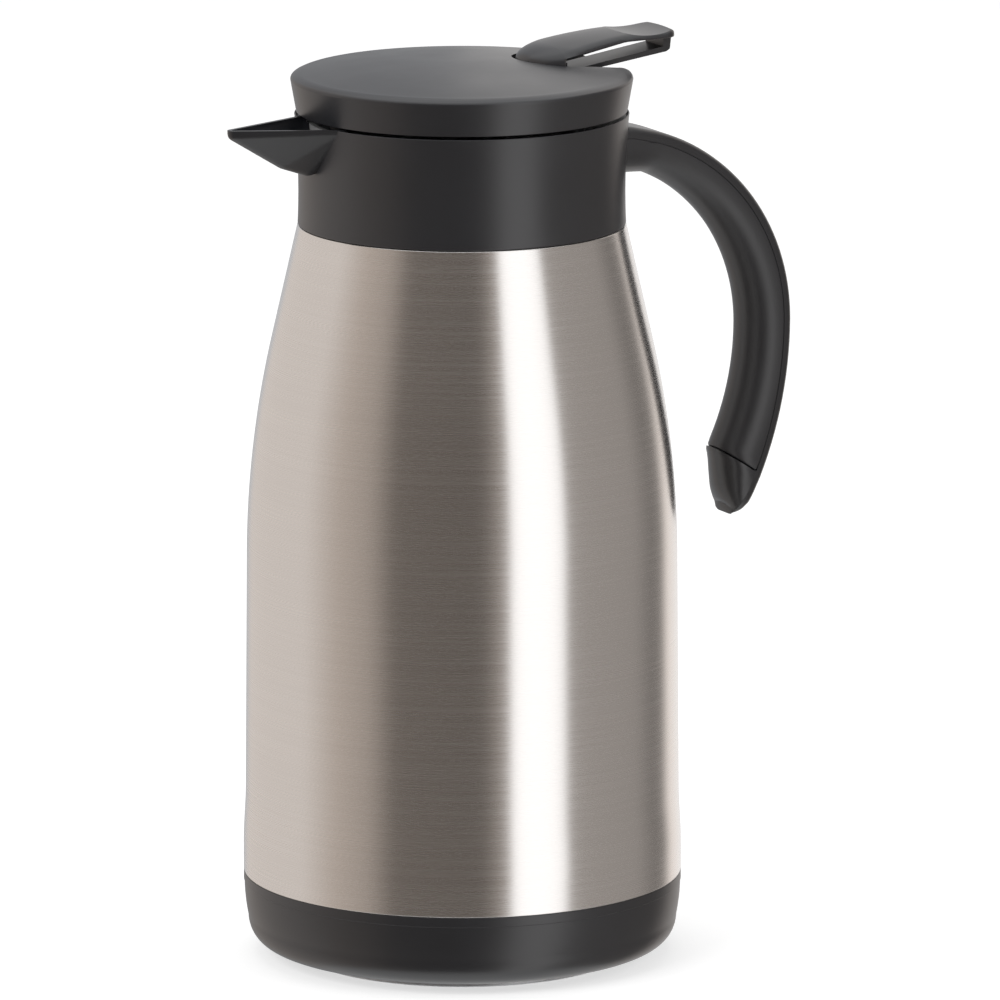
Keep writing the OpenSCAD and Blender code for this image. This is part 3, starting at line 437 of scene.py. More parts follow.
class Finish(Nodes):
    """Lays out the nodes of one finish round a principled shader."""

    def __init__(self, name):
        super().__init__(bpy.data.materials.new(name), bare=False)
        self.shader = self.tree.nodes["Principled BSDF"]
        self.place = self.add("ShaderNodeTexCoord").outputs["Object"]

    def shade(self, values):
        """Sets inputs of the shader."""
        for key, value in values.items():
            self.shader.inputs[key].default_value = value

    def stretched(self, scale):
        """The place on the piece, scaled by axis."""
        mapping = self.add("ShaderNodeMapping")
        mapping.inputs["Scale"].default_value = scale
        self.link(self.place, mapping.inputs["Vector"])
        return mapping.outputs["Vector"]

    def noise(self, vector, scale, detail=3.0):
        node = self.add("ShaderNodeTexNoise")
        node.inputs["Scale"].default_value = scale
        node.inputs["Detail"].default_value = detail
        node.inputs["Roughness"].default_value = 0.5
        self.link(vector, node.inputs["Vector"])
        return node.outputs["Fac"]

    def spread(self, source, low, high):
        """A noise spread over a range of values."""
        node = self.add("ShaderNodeMapRange")
        for key, value in (("From Min", 0.25), ("From Max", 0.75), ("To Min", low), ("To Max", high)):
            node.inputs[key].default_value = value
        self.link(source, node.inputs["Value"])
        return node.outputs["Result"]

    def vary(self, source, rgb, dark, light, roughness, play):
        """Lets a noise carry the colour from darker to lighter, and the roughness up and down."""
        node = self.add("ShaderNodeMix", data_type="RGBA")
        node.inputs["A"].default_value = (*scaled(rgb, dark), 1)
        node.inputs["B"].default_value = (*scaled(rgb, light), 1)
        self.link(self.spread(source, 0.0, 1.0), node.inputs["Factor"])
        self.link(node.outputs["Result"], self.shader.inputs["Base Color"])
        self.link(self.spread(source, roughness - play, roughness + play), self.shader.inputs["Roughness"])

    def bump(self, source, depth, strength):
        node = self.add("ShaderNodeBump")
        node.inputs["Distance"].default_value = depth
        node.inputs["Strength"].default_value = strength
        self.link(source, node.inputs["Height"])
        self.link(node.outputs["Normal"], self.shader.inputs["Normal"])


def scaled(rgb, factor):
    """A colour made darker or lighter."""
    return tuple(min(1.0, c * factor) for c in rgb)


def moulded_plastic(name, rgb, roughness):
    """Satin black moulding: a fine spark-eroded grain with slight cloudiness in colour and gloss."""
    n = Finish(name)
    clouds = n.noise(n.place, scale=45.0, detail=4.0)
    grain = n.noise(n.place, scale=5200.0, detail=2.0)
    n.vary(clouds, rgb, dark=0.92, light=1.08, roughness=roughness, play=0.03)
    n.shade({"Specular IOR Level": 0.85})
    n.bump(grain, depth=0.00001, strength=0.5)
    return n.owner


def brushed_steel(name, rgb, roughness, brushing):
    """Steel brushed round the axis: fine level scratches, and shine stretched up and down."""
    n = Finish(name)
    fine = n.noise(n.stretched((14.0, 14.0, 5200.0)), scale=1.0, detail=2.0)
    coarse = n.noise(n.stretched((5.0, 5.0, 950.0)), scale=1.0)
    lines = n.reckon("MULTIPLY", n.reckon("ADD", fine, coarse), 0.5)
    n.vary(lines, rgb, dark=0.95, light=1.02, roughness=roughness, play=0.04)
    n.shade({"Metallic": 1.0, "Anisotropic": brushing, "Anisotropic Rotation": 0.25})
    tangent = n.add("ShaderNodeTangent", direction_type="RADIAL", axis="Z")
    n.link(tangent.outputs["Tangent"], n.shader.inputs["Tangent"])
    n.bump(lines, depth=0.000004, strength=0.25)
    return n.owner


def drawn_steel(name, rgb, roughness, grain_scale):
    """Sheet or turned steel with a soft mottled shine."""
    n = Finish(name)
    mottle = n.noise(n.place, grain_scale)
    n.vary(mottle, rgb, dark=0.9, light=1.05, roughness=roughness, play=0.06)
    n.shade({"Metallic": 1.0})
    n.bump(mottle, depth=0.000006, strength=0.4)
    return n.owner


def soft_rubber(name, rgb, roughness, grain_scale, depth, skin_gloss=0.0):
    """Rubber or silicone with a fine matt skin, and for the foot a thin glossy one."""
    n = Finish(name)
    skin = n.noise(n.place, grain_scale)
    n.vary(skin, rgb, dark=0.94, light=1.04, roughness=roughness, play=0.05)
    n.bump(skin, depth, strength=0.5)
    n.shade({"Coat Weight": skin_gloss, "Coat Roughness": 0.3, "Coat IOR": 2.4})
    return n.owner


def finish_of(slot):
    """The finish for a slot of the record, made when it is first asked for."""
    f = bpy.context.scene.carafe_finish
    name, recipe, *settings = {
        "black_plastic": ("black_plastic_satin", moulded_plastic, f.plastic, f.plastic_gloss),
        "grip_plastic": ("grip_plastic_satin", moulded_plastic, f.grip, f.plastic_gloss + 0.04),
        "inner_plastic": ("inner_plastic_plain", moulded_plastic, f.inner, 0.45),
        "brushed_shell": ("steel_brushed_round", brushed_steel, f.steel, f.steel_gloss, f.brushing),
        "steel_sheet": ("steel_drawn_sheet", drawn_steel, scaled(f.steel, 0.9), 0.3, 180.0),
        "plain_steel": ("steel_bright", drawn_steel, f.steel, 0.2, 600.0),
        "getter_metal": ("getter_sintered", drawn_steel, f.getter, 0.7, 2400.0),
        "pad": ("foot_pad_matt", soft_rubber, f.pad, 0.5, 1400.0, 0.00002, 1.0),
        "silicone": ("silicone_smooth", soft_rubber, f.silicone, 0.45, 700.0, 0.00001),
    }[slot]
    return bpy.data.materials.get(name) or recipe(name, *settings)


# ------------------------------------------------------------------ flask and base


def flask_line(f, inset):
    """Points up the outside of the steel, moved in by a distance."""
    flare_steps, shoulder_steps = 12, 24
    points = [(f.foot_radius - inset, SEAM_Z), (f.foot_radius - inset, SEAM_Z + f.foot_band)]
    for i in range(1, flare_steps + 1):
        t = i / flare_steps
        drop = (f.foot_radius - f.low_radius) * (1 - math.cos(math.pi * t)) / 2
        points.append((f.foot_radius - drop - inset, SEAM_Z + f.foot_band + f.foot_flare * t))
    rise = COLLAR_Z - SEAM_Z - f.straight_height
    across = f.shoulder_radius - (f.waist_radius - f.top_radius)
    turn = math.atan2(rise, across) - math.acos(f.shoulder_radius / math.hypot(rise, across))
    for i in range(shoulder_steps + 1):
        a = turn * i / shoulder_steps
        r = f.waist_radius - f.shoulder_radius * (1 - math.cos(a)) - inset
        points.append((r, SEAM_Z + f.straight_height + f.shoulder_radius * math.sin(a)))
    points.append((f.top_radius - inset, COLLAR_Z))
    return points


class CARAFE_OT_flask(bpy.types.Operator):
    """Turns the brushed steel wall of the flask"""

    bl_idname = "carafe.flask"
    bl_label = "Flask wall"

    def execute(self, context):
        f = context.scene.carafe_flask
        soft = 0.35 * MM
        outside, inside = flask_line(f, 0), flask_line(f, f.wall)
        foot_r, foot_z = outside[0]
        top_r, top_z = outside[-1]
        skirt = f.skirt_radius
        line = [(skirt, LEDGE_Z), (skirt, SEAM_Z)]
        line += quarter((foot_r - soft, foot_z + soft), soft, -90, 0)
        line += outside[1:-1]
        line += quarter((top_r - soft, top_z - soft), soft, 12, 90)
        line += [(top_r - f.wall, top_z)] + inside[-2:0:-1]
        line += [(inside[0][0], SEAM_Z + f.wall), (skirt - f.wall, SEAM_Z + f.wall), (skirt - f.wall, LEDGE_Z)]
        piece = turned(closed(line))
        smooth(piece)
        hand_over(piece, "flask_wall", "pot", "brushed_shell", "outer_shell")
        return {"FINISHED"}


class CARAFE_OT_base(bpy.types.Operator):
    """Turns the base cup and the pad that the carafe stands on"""

    bl_idname = "carafe.base"
    bl_label = "Base cup and foot pad"

    def execute(self, context):
        f = context.scene.carafe_flask
        flare, step, soft = 1.3 * MM, 0.2 * MM, 0.3 * MM
        pocket_play, pocket_depth, floor_height, shelf = 0.1 * MM, 1.0 * MM, 3.6 * MM, 1.6 * MM
        round_steps, side_steps = 16, 12
        round_top, band_z = BASE_Z + f.cup_round_height, SEAM_Z - f.cup_band
        pocket_r, pocket_z = f.pad_radius + pocket_play, BASE_Z + pocket_depth
        inner_r, floor_z = f.foot_radius - f.cup_wall, BASE_Z + floor_height
        line = [(0, pocket_z), (pocket_r, pocket_z), (pocket_r, BASE_Z)]
        for i in range(round_steps + 1):
            a = math.radians(90 * i / round_steps)
            r = f.foot_radius - flare - f.cup_round_width * (1 - math.sin(a))
            line.append((r, BASE_Z + f.cup_round_height * (1 - math.cos(a))))
        for i in range(1, side_steps + 1):
            t = i / side_steps
            r = f.foot_radius - step - (flare - step) * (1 - t) ** 2
            line.append((r, round_top + (band_z - round_top) * t))
        line += [(f.foot_radius, band_z + step)]
        line += quarter((f.foot_radius - soft, SEAM_Z - soft), soft, 0, 90)
        line += [(inner_r, SEAM_Z), (inner_r, LEDGE_Z), (inner_r - shelf, LEDGE_Z)]
        line += [(inner_r - shelf - (LEDGE_Z - floor_z), floor_z), (0, floor_z)]
        piece = turned(line)
        smooth(piece, 25)
        hand_over(piece, "base_shell", "pot", "black_plastic", "base_cup")

        low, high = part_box("foot_pad")
        edge = 0.6 * MM
        line = [(0, low.z)] + quarter((f.pad_radius - edge, low.z + edge), edge, -90, 0)
        pad = turned(line + [(f.pad_radius, high.z), (0, high.z)])
        smooth(pad)
        hand_over(pad, "foot_disc", "pot", "pad", "foot_pad")
        return {"FINISHED"}


# ------------------------------------------------------------------ collar and spout


def collar_radius(c, z):
    """Radius of the collar at a height: flared, and drawn in a little half way up."""
    t = (z - COLLAR_Z) / (COLLAR_TOP_Z - COLLAR_Z)
    return c.foot_radius + c.flare * t - 4 * c.waist * t * (1 - t)


def spout_block(c, inset, top):
    """The V-shaped wedge of the spout: balls and rods under one softened hull, cut off level at the top."""
    corner, keel_r, root_r, root_out = 2.0 * MM, 2.2 * MM, 2.6 * MM, 1.9 * MM
    keel = ((0.33, 1.4 * MM), (0.61, 0.8 * MM))
    rod_length, rod_lift, voxel, rounds = 6 * MM, 2 * MM, 0.45 * MM, 9
    root_x = math.sqrt((c.foot_radius + c.flare) ** 2 - c.spout_half_width**2)
    root = Vector((-c.foot_radius - root_out, COLLAR_TOP_Z - c.spout_depth))
    tip = Vector((c.spout_lip - c.spout_reach, COLLAR_TOP_Z - c.spout_tip))
    balls = [(c.spout_lip, tip)]
    balls += [(keel_r, root.lerp(tip, way) - Vector((0, sag))) for way, sag in keel]
    balls += [(root_r, root), (root_r, Vector((1.6 * root_r - root_x, root.y + 0.6 * root_r)))]
    rods = [(c.spout_lip, tip.x, 0), (corner, 4 * corner - root_x, 0)]
    rods += [(corner, corner - root_x, side * (c.spout_half_width - corner)) for side in (-1, 1)]
    let_go()
    bpy.ops.mesh.primitive_plane_add(size=POINT_SIZE, enter_editmode=True, location=(tip.x, 0, top))
    for radius, low in balls:
        bpy.ops.mesh.primitive_uv_sphere_add(
            segments=48, ring_count=24, radius=radius - inset, location=(low.x, 0, low.y + radius)
        )
    for radius, x, y in rods:
        bpy.ops.mesh.primitive_cylinder_add(
            vertices=48, radius=radius - inset, depth=rod_length, location=(x, y, top + rod_lift)
        )
    piece = bpy.context.active_object
    bpy.ops.mesh.select_all(action="SELECT")
    bpy.ops.mesh.convex_hull()
    weld()
    take(piece)
    bpy.ops.object.transform_apply(location=True, rotation=False, scale=False)
    apply_modifier(piece, "Even mesh", "REMESH", mode="VOXEL", voxel_size=voxel)
    apply_modifier(piece, "Soft edges", "SMOOTH", factor=0.5, iterations=rounds)
    bpy.ops.object.mode_set(mode="EDIT")
    bpy.ops.mesh.select_all(action="SELECT")
    bpy.ops.mesh.bisect(plane_co=(0, 0, top), plane_no=(0, 0, 1), clear_outer=True, use_fill=True)
    weld()
    return piece


class CARAFE_OT_collar(bpy.types.Operator):
    """Turns the collar, with a groove in its top, and joins its V-shaped spout"""

    bl_idname = "carafe.collar"
    bl_label = "Collar and spout"

    def execute(self, context):
        c = context.scene.carafe_collar
        soft, overlap, wall_steps = 0.3 * MM, 0.5 * MM, 20
        groove_in, groove_depth, sleeve_foot = 0.9 * MM, 1.3 * MM, 1.5 * MM
        inner = c.foot_radius - c.wall
        floor_z = COLLAR_Z + c.floor_height
        floor_top = floor_z + c.floor_thickness
        sleeve_z = COLLAR_Z + sleeve_foot
        top_r = collar_radius(c, COLLAR_TOP_Z)
        line = quarter((c.foot_radius - c.foot_round, COLLAR_Z + c.foot_round), c.foot_round, -90, -8, 7)
        for i in range(1, wall_steps + 1):
            z = COLLAR_Z + c.foot_round + (RING_TOP_Z - soft - COLLAR_Z - c.foot_round) * i / wall_steps
            line.append((collar_radius(c, z), z))
        line += quarter((top_r - soft, RING_TOP_Z - soft), soft, 4, 90, 7)
        line += [(top_r - groove_in, RING_TOP_Z - groove_depth), (inner, RING_TOP_Z - groove_depth)]
        line += [(inner, floor_top), (c.bore, floor_top), (c.bore, sleeve_z), (c.bore + c.sleeve, sleeve_z)]
        line += [(c.bore + c.sleeve, floor_z), (inner - c.waist, floor_z), (inner - c.waist, COLLAR_Z)]
        piece = turned(closed(line))
        spout = spout_block(c, 0, COLLAR_TOP_Z)
        room_r, above = inner + overlap, COLLAR_TOP_Z + MM
        combine(spout, turned([(0, COLLAR_Z), (room_r, COLLAR_Z), (room_r, above), (0, above)]), "DIFFERENCE")
        combine(piece, spout, "UNION")
        combine(piece, spout_block(c, c.spout_wall, above), "DIFFERENCE")
        smooth(piece, 28)
        hand_over(piece, "collar_and_spout", "pot", "black_plastic", "collar")
        return {"FINISHED"}


# ------------------------------------------------------------------ handle


# Steps down the beak: the outer and the inner point from the kink in beak lengths, and the width left
BEAK_SHARES = (
    ((-0.076, -0.163), (0.027, -0.196), 0.99),
    ((-0.141, -0.304), (0.054, -0.446), 0.97),
    ((-0.217, -0.446), (0.087, -0.685), 0.92),
    ((-0.32, -0.545), (0.152, -0.871), 0.78),
    ((-0.44, -0.61), (0.225, -0.955), 0.55),
)


def handle_stations(h, foot_radius):
    """Stations down the handle: root, bow and beak, each as outer point, inner point and half width."""
    half = h.width / 2
    outer_start, inner_start, root_fall, fillet = 11.3 * MM, 10.4 * MM, 2.2 * MM, 0.2 * MM
    root_in = -4 * MM
    low_outer, low_inner = math.radians(23.4), math.radians(26.9)
    high_steps, low_steps, beak_steps = 30, 14, 4
    under = h.root_top - h.root_height

    def at(out, up):
        return Vector((foot_radius + out, COLLAR_Z + up))

    def arc_radius(wide, high):
        return (wide**2 + high**2) / (2 * wide)

    outer_r = arc_radius(h.reach - outer_start, h.root_top - root_fall + h.drop)
    inner_reach = h.reach - h.depth
    inner_r = arc_radius(inner_reach - inner_start, under - fillet + h.inner_drop)
    outer_a = math.acos((outer_start - h.reach + outer_r) / outer_r)
    inner_a = math.acos((inner_start - inner_reach + inner_r) / inner_r)

    def on(reach, radius, drop, angle):
        return at(reach - radius + radius * math.cos(angle), -drop + radius * math.sin(angle))

    root = [
        (at(root_in, h.root_top), at(root_in, under), half),
        (at(outer_start * 0.33, h.root_top - root_fall * 0.2), at(inner_start * 0.36, under), half),
        (
            at(outer_start * 0.68, h.root_top - root_fall * 0.6),
            at(inner_start * 0.7, under - fillet * 0.3),
            half,
        ),
    ]
    bow = []
    for i in range(high_steps + 1):
        t = 1 - i / high_steps
        outer = on(h.reach, outer_r, h.drop, outer_a * t)
        bow.append((outer, on(inner_reach, inner_r, h.inner_drop, inner_a * t), half))
    for i in range(1, low_steps + 1):
        t = -i / low_steps
        outer = on(h.reach, h.low_radius, h.drop, low_outer * t)
        bow.append((outer, on(inner_reach, h.inner_low_radius, h.inner_drop, low_inner * t), half))
    kink = bow[-1]
    knots = [bow[-2], kink]
    for outer, inner, width_left in BEAK_SHARES:
        outer, inner = kink[0] + h.beak * Vector(outer), kink[1] + h.beak * Vector(inner)
        knots.append((outer, inner, half * width_left))
    beak = [curve(knots, i, t / beak_steps) for i in range(1, len(knots) - 1) for t in range(1, beak_steps + 1)]
    return root, bow, beak


def curve(knots, i, t):
    """A station on the smooth curve through the stations, part of the way from one to the next."""
    a, b, c = knots[i - 1], knots[i], knots[i + 1]
    d = knots[min(i + 2, len(knots) - 1)]

    def ease(p, q, r, s):
        return 0.5 * (2 * q + (r - p) * t + (2 * p - 5 * q + 4 * r - s) * t**2 + (3 * q - p - 3 * r + s) * t**3)

    return tuple(ease(*four) for four in zip(a, b, c, d))


def between(a, b, t):
    """A station part of the way from one to another."""
    return (a[0].lerp(b[0], t), a[1].lerp(b[1], t), a[2] + (b[2] - a[2]) * t)


def handle_ring(station, near, far, belly, edge):
    """A ring round the handle: a rounded belly on the inner side and rounded corners on the outer side."""
    belly_steps, corner_steps = 16, 5
    outer, inner, half = station
    depth = (outer - inner).length
    along = (outer - inner) / depth
    edge = min(edge, half * 0.6, depth * 0.4)
    belly = min(belly, depth * 0.75)
    flat = []
    for k in range(belly_steps + 1):
        a = math.radians(-90 + 180 * k / belly_steps)
        flat.append((near + belly * (1 - math.cos(a)), half * math.sin(a)))
    for k in range(corner_steps + 1):
        a = math.radians(90 - 90 * k / corner_steps)
        flat.append((far - edge + edge * math.cos(a), half - edge + edge * math.sin(a)))
    for k in range(corner_steps + 1):
        a = math.radians(-90 * k / corner_steps)
        flat.append((far - edge + edge * math.cos(a), edge - half + edge * math.sin(a)))
    return [(inner.x + along.x * d, w, inner.y + along.y * d) for d, w in flat]


def collar_plug(c):
    """The space of the collar, which the handle's root is cut to."""
    play, steps = 0.05 * MM, 20
    line = [(0, COLLAR_Z - MM)]
    for i in range(steps + 1):
        z = COLLAR_Z - MM + (COLLAR_TOP_Z - COLLAR_Z + 2 * MM) * i / steps
        line.append((collar_radius(c, z) + play, z))
    return turned(line + [(0, COLLAR_TOP_Z + MM)])


class CARAFE_OT_handle(bpy.types.Operator):
    """Lofts the handle's spine with its beak, and the grip inside it"""

    bl_idname = "carafe.handle"
    bl_label = "Handle"

    def execute(self, context):
        h, c = context.scene.carafe_handle, context.scene.carafe_collar
        flat_belly, play, grip_edge = 0.001 * MM, 0.02 * MM, 0.3 * MM
        tip_way = Vector((-0.25, -0.97)) * 1.1 * MM
        root, bow, beak = handle_stations(h, c.foot_radius)
        kink = bow[-1]
        grip_stations = [*root, *bow[:-1], between(kink, bow[-2], 0.1)]
        tip = beak[-1]
        middle = (tip[0] + tip[1]) / 2

        def depth(s):
            return (s[0] - s[1]).length

        def whole(s):
            return handle_ring(s, 0, depth(s), h.belly, h.edge)

        def strip(s):
            return handle_ring(s, depth(s) - h.spine, depth(s), flat_belly, h.edge)

        def grip(s, inset=0.0):
            slim = (s[0], s[1], s[2] - inset)
            return handle_ring(slim, inset, depth(s) - h.spine - play, h.belly, grip_edge)

        rounded = []
        for turn in (15, 30, 45, 60, 72, 82):
            left = math.cos(math.radians(turn))
            away = tip_way * math.sin(math.radians(turn))
            outer, inner = (middle.lerp(corner, left) + away for corner in tip[:2])
            rounded.append((outer, inner, tip[2] * left))
        spine = loft([strip(s) for s in grip_stations] + [whole(kink)] + [whole(s) for s in beak + rounded])
        combine(spine, collar_plug(c), "DIFFERENCE")
        smooth(spine, 40)
        hand_over(spine, "handle_back", "pot", "black_plastic", "handle_spine")
        end = grip_stations[-1]
        round_end = [grip(between(end, bow[-2], 0.25), 0.15 * MM), grip(end, 0.7 * MM)]
        inside = loft([grip(s) for s in grip_stations[:-1]] + round_end)
        combine(inside, collar_plug(c), "DIFFERENCE")
        smooth(inside, 40)
        hand_over(inside, "handle_inside", "pot", "grip_plastic", "handle_grip")
        return {"FINISHED"}


# ------------------------------------------------------------------ lid and lever


def rim_height(lid):
    return CAP_TOP_Z - lid.dome


def cap_line(lid, inset, low):
    """Points from the lower edge of the cap up over its rim to the top of the dome."""
    wide, rim = lid.radius + lid.flare, rim_height(lid)
    flat, dome_r = wide - lid.edge, wide - lid.edge - MM
    dome_steps = 24

    def dome(r):
        return rim + lid.dome * (1 - (r / flat) ** 2)

    if inset:
        line = [(lid.radius - inset, low)]
        line += quarter((flat, rim - lid.edge), lid.edge - inset, 0, 86, 10)
    else:
        soft, corner, corner_fall = 0.15 * MM, lid.edge / 2.5, 0.62 * MM
        line = quarter((lid.radius - soft, low + soft), soft, -90, 6, 7)
        line += quarter((wide - corner, rim - corner_fall - corner), corner, 0, 70, 10)
        r, z = line[-1]
        for t in (0.12, 0.25, 0.4, 0.55, 0.7, 0.85):
            line.append((r + (dome_r - r) * t, z + (dome(dome_r) - z) * (1 - (1 - t) ** 2.2)))
    for i in range(dome_steps + 1):
        r = dome_r * (1 - i / dome_steps)
        line.append((r, dome(r) - inset))
    return line


def nose_outline(x, arc, half, steps=24):
    """The round front of the lever and its trough, seen from above."""
    turns = [math.asin(half / arc) * i / steps for i in range(-steps, steps + 1)]
    return [(x + arc * (1 - math.cos(a)), arc * math.sin(a)) for a in turns]


def trough_block(x, arc, half, back, low, high):
    """An upright block with a round front, such as the space of the trough."""
    outline = nose_outline(x, arc, half) + [(back, half), (back, -half)]
    return prism([(px, py, low) for px, py in outline], (0, 0, high - low))


def box_block(low, high):
    """A block between two corners."""
    (x0, y0, z0), (x1, y1, z1) = low, high
    return prism([(x0, y0, z0), (x1, y0, z0), (x1, y1, z0), (x0, y1, z0)], (0, 0, z1 - z0))


def rod(x, z, radius, half, sides=64):
    """A level rod across the lid."""
    turns = [math.tau * i / sides for i in range(sides)]
    return prism([(x + radius * math.cos(a), -half, z + radius * math.sin(a)) for a in turns], (0, 2 * half, 0))


class CARAFE_OT_lid(bpy.types.Operator):
    """Turns the lid cap, cuts the trough for its lever and adds its screw posts"""

    bl_idname = "carafe.lid"
    bl_label = "Lid cap"

    def execute(self, context):
        lid = context.scene.carafe_lid
        rim = rim_height(lid)
        wall, lip, trough_depth, well_length = 1.6 * MM, 6.4 * MM, 3.7 * MM, 8 * MM
        cheek_length, cheek_drop = 8 * MM, 4.4 * MM
        post_circle, post_r, post_top = 39 * MM, 3.5 * MM, rim - 0.7 * MM
        wide = lid.radius + lid.flare
        floor_z = rim - trough_depth
        half, arc, front = lid.nose_width / 2 + lid.gap, lid.nose_arc + lid.gap, lid.nose - lid.gap
        well_end = lid.pivot + well_length

        foot = COLLAR_TOP_Z + lid.seam
        cap = turned(closed(cap_line(lid, 0, foot) + cap_line(lid, lid.wall, foot)[::-1]))

        def add(block):
            """Adds the part of a block that lies inside the cap."""
            combine(block, turned([(0, foot)] + cap_line(lid, 0, foot)), "INTERSECT")
            combine(cap, block, "UNION")

        top = CAP_TOP_Z + MM
        add(trough_block(front - wall, arc + wall, half + wall, wide, CAP_TOP_Z - lip, top))
        back_low = (well_end - wall, -half - wall, floor_z - wall)
        add(box_block(back_low, (well_end + wide, half + wall, top)))
        for side in (-1, 1):
            near, far = sorted((side * half, side * (half + wall + MM)))
            cheek_low = (lid.pivot - cheek_length, near, PIN_Z - cheek_drop)
            add(box_block(cheek_low, (lid.pivot + cheek_length, far, top)))
        combine(cap, trough_block(front, arc, half, wide + 5 * MM, floor_z, top), "DIFFERENCE")
        combine(cap, trough_block(front, arc, half, well_end, foot - MM, top), "DIFFERENCE")
        for angle in (60, 180, 300):
            place = Vector((post_circle, 0, (POST_Z + post_top) / 2))
            place.rotate(Euler((0, 0, math.radians(angle))))
            combine(cap, cylinder(post_r, post_top - POST_Z, place), "UNION")
        combine(cap, rod(lid.pivot, PIN_Z, PIN_BORE, 22 * MM), "DIFFERENCE")
        smooth(cap, 30)
        hand_over(cap, "lid_shell", "lid", "black_plastic", "lid_cap")
        return {"FINISHED"}


def clamp(value):
    return min(1.0, max(0.0, value))


def lever_half_width(lid, x):
    """Half the width of the lever at a distance from the axis."""
    nose_half, pad_half = lid.nose_width / 2, lid.pad_width / 2
    nose_end = lid.nose + lid.nose_arc * (1 - math.cos(math.asin(nose_half / lid.nose_arc)))
    pad_start, corner_start = lid.thumb_end - lid.pad_length, lid.thumb_end - PAD_CORNER
    if x <= nose_end:
        return math.sqrt(max(0.0, lid.nose_arc**2 - (lid.nose + lid.nose_arc - x) ** 2))
    if x <= pad_start:
        t = (x - nose_end) / (pad_start - nose_end)
        return nose_half + (pad_half - nose_half) * t
    if x <= corner_start:
        return pad_half
    return pad_half - PAD_CORNER + math.sqrt(max(0.0, PAD_CORNER**2 - (x - corner_start) ** 2))


def lever_under(lid, x):
    """Height of the underside of the loop."""
    lift, slope = 1.4 * MM, math.tan(math.radians(9))
    return PIN_Z + lift + slope * (x - lid.pivot)


def lever_over(lid, x):
    """Height of the middle of the shell's top."""
    pad_rise, nose_flat = 0.3 * MM, 2 * MM
    pad_start = lid.thumb_end - lid.pad_length
    t = clamp((x - lid.nose - nose_flat) / (pad_start - lid.nose))
    rear = clamp((x - pad_start) / lid.pad_length)
    return LEVER_TOP_Z - pad_rise * (1 - rear) - lid.nose_fall * (1 - t) ** 1.6


def shell_under(lid, x):
    """Height of the shell's underside, level with the loop's plate and thinner at the rear."""
    return min(lever_under(lid, x) + lid.plate + lid.window, lever_over(lid, x) - lid.shell)


def lever_ring(lid, x, low):
    """A ring across the lever: soft lower corners, a crowned top that falls towards the outline."""
    edge, edge_share, soft, least_half = 2.2 * MM, 0.72, 0.45 * MM, 0.3 * MM
    nose_length, nose_drop = 8 * MM, 2.6 * MM
    top_steps = 14
    half = max(least_half, lever_half_width(lid, x))
    end = min(x - lid.nose, lid.thumb_end - x)
    rear = clamp((x - lid.thumb_end + lid.pad_length) / lid.pad_length)
    crown = lid.crown * (1 - 0.5 * rear)

    def top(y):
        near = max(0.0, min(half - abs(y), end, edge))
        fall = edge_share * (edge - math.sqrt(max(0.0, edge**2 - (edge - near) ** 2)))
        nose_x = lid.nose + lid.nose_arc - math.sqrt(max(0.0, lid.nose_arc**2 - y**2))
        ahead = 1 - clamp((x - nose_x) / nose_length)
        front = nose_drop * (1 - math.sqrt(1 - ahead**2))
        return lever_over(lid, x) - crown * (2 * y / lid.pad_width) ** 2 - fall - front

    low_r = min(soft, half * 0.5)
    corner = [(half - low_r + low_r * math.sin(a), low + low_r - low_r * math.cos(a)) for a in THIRDS]
    ring = [(x, (half - low_r) * k / 3, low) for k in range(-3, 4)]
    ring += [(x, y, z) for y, z in corner]
    for k in range(top_steps, -top_steps - 1, -1):
        y = half * math.sin(math.radians(90 * k / top_steps))
        ring.append((x, y, max(top(y), low + 1.2 * low_r)))
    ring += [(x, -y, z) for y, z in corner[::-1]]
    return ring


def lever_shell(lid, lip_z):
    """The lever's shell: a thin lip round the nose, and a long crowned strip to the thumb end."""
    front_steps, strip_steps, end_steps = 16, 32, 9
    block_end = lid.pivot - 0.5 * MM
    turn = math.acos((lid.nose + lid.nose_arc - block_end) / lid.nose_arc)
    rings = []
    for i in range(1, front_steps + 1):
        x = lid.nose + lid.nose_arc * (1 - math.cos(turn * i / front_steps))
        rings.append(lever_ring(lid, x, lip_z))
    start_x, flat_x = block_end + 0.4 * MM, lid.thumb_end - PAD_CORNER
    for i in range(strip_steps + 1):
        x = start_x + (flat_x - start_x) * i / strip_steps
        rings.append(lever_ring(lid, x, shell_under(lid, x)))
    for i in range(1, end_steps + 1):
        x = flat_x + PAD_CORNER * math.sin(math.radians(88 * i / end_steps))
        rings.append(lever_ring(lid, x, shell_under(lid, x) + (0.2 * MM if i > 7 else 0)))
    return loft(rings)


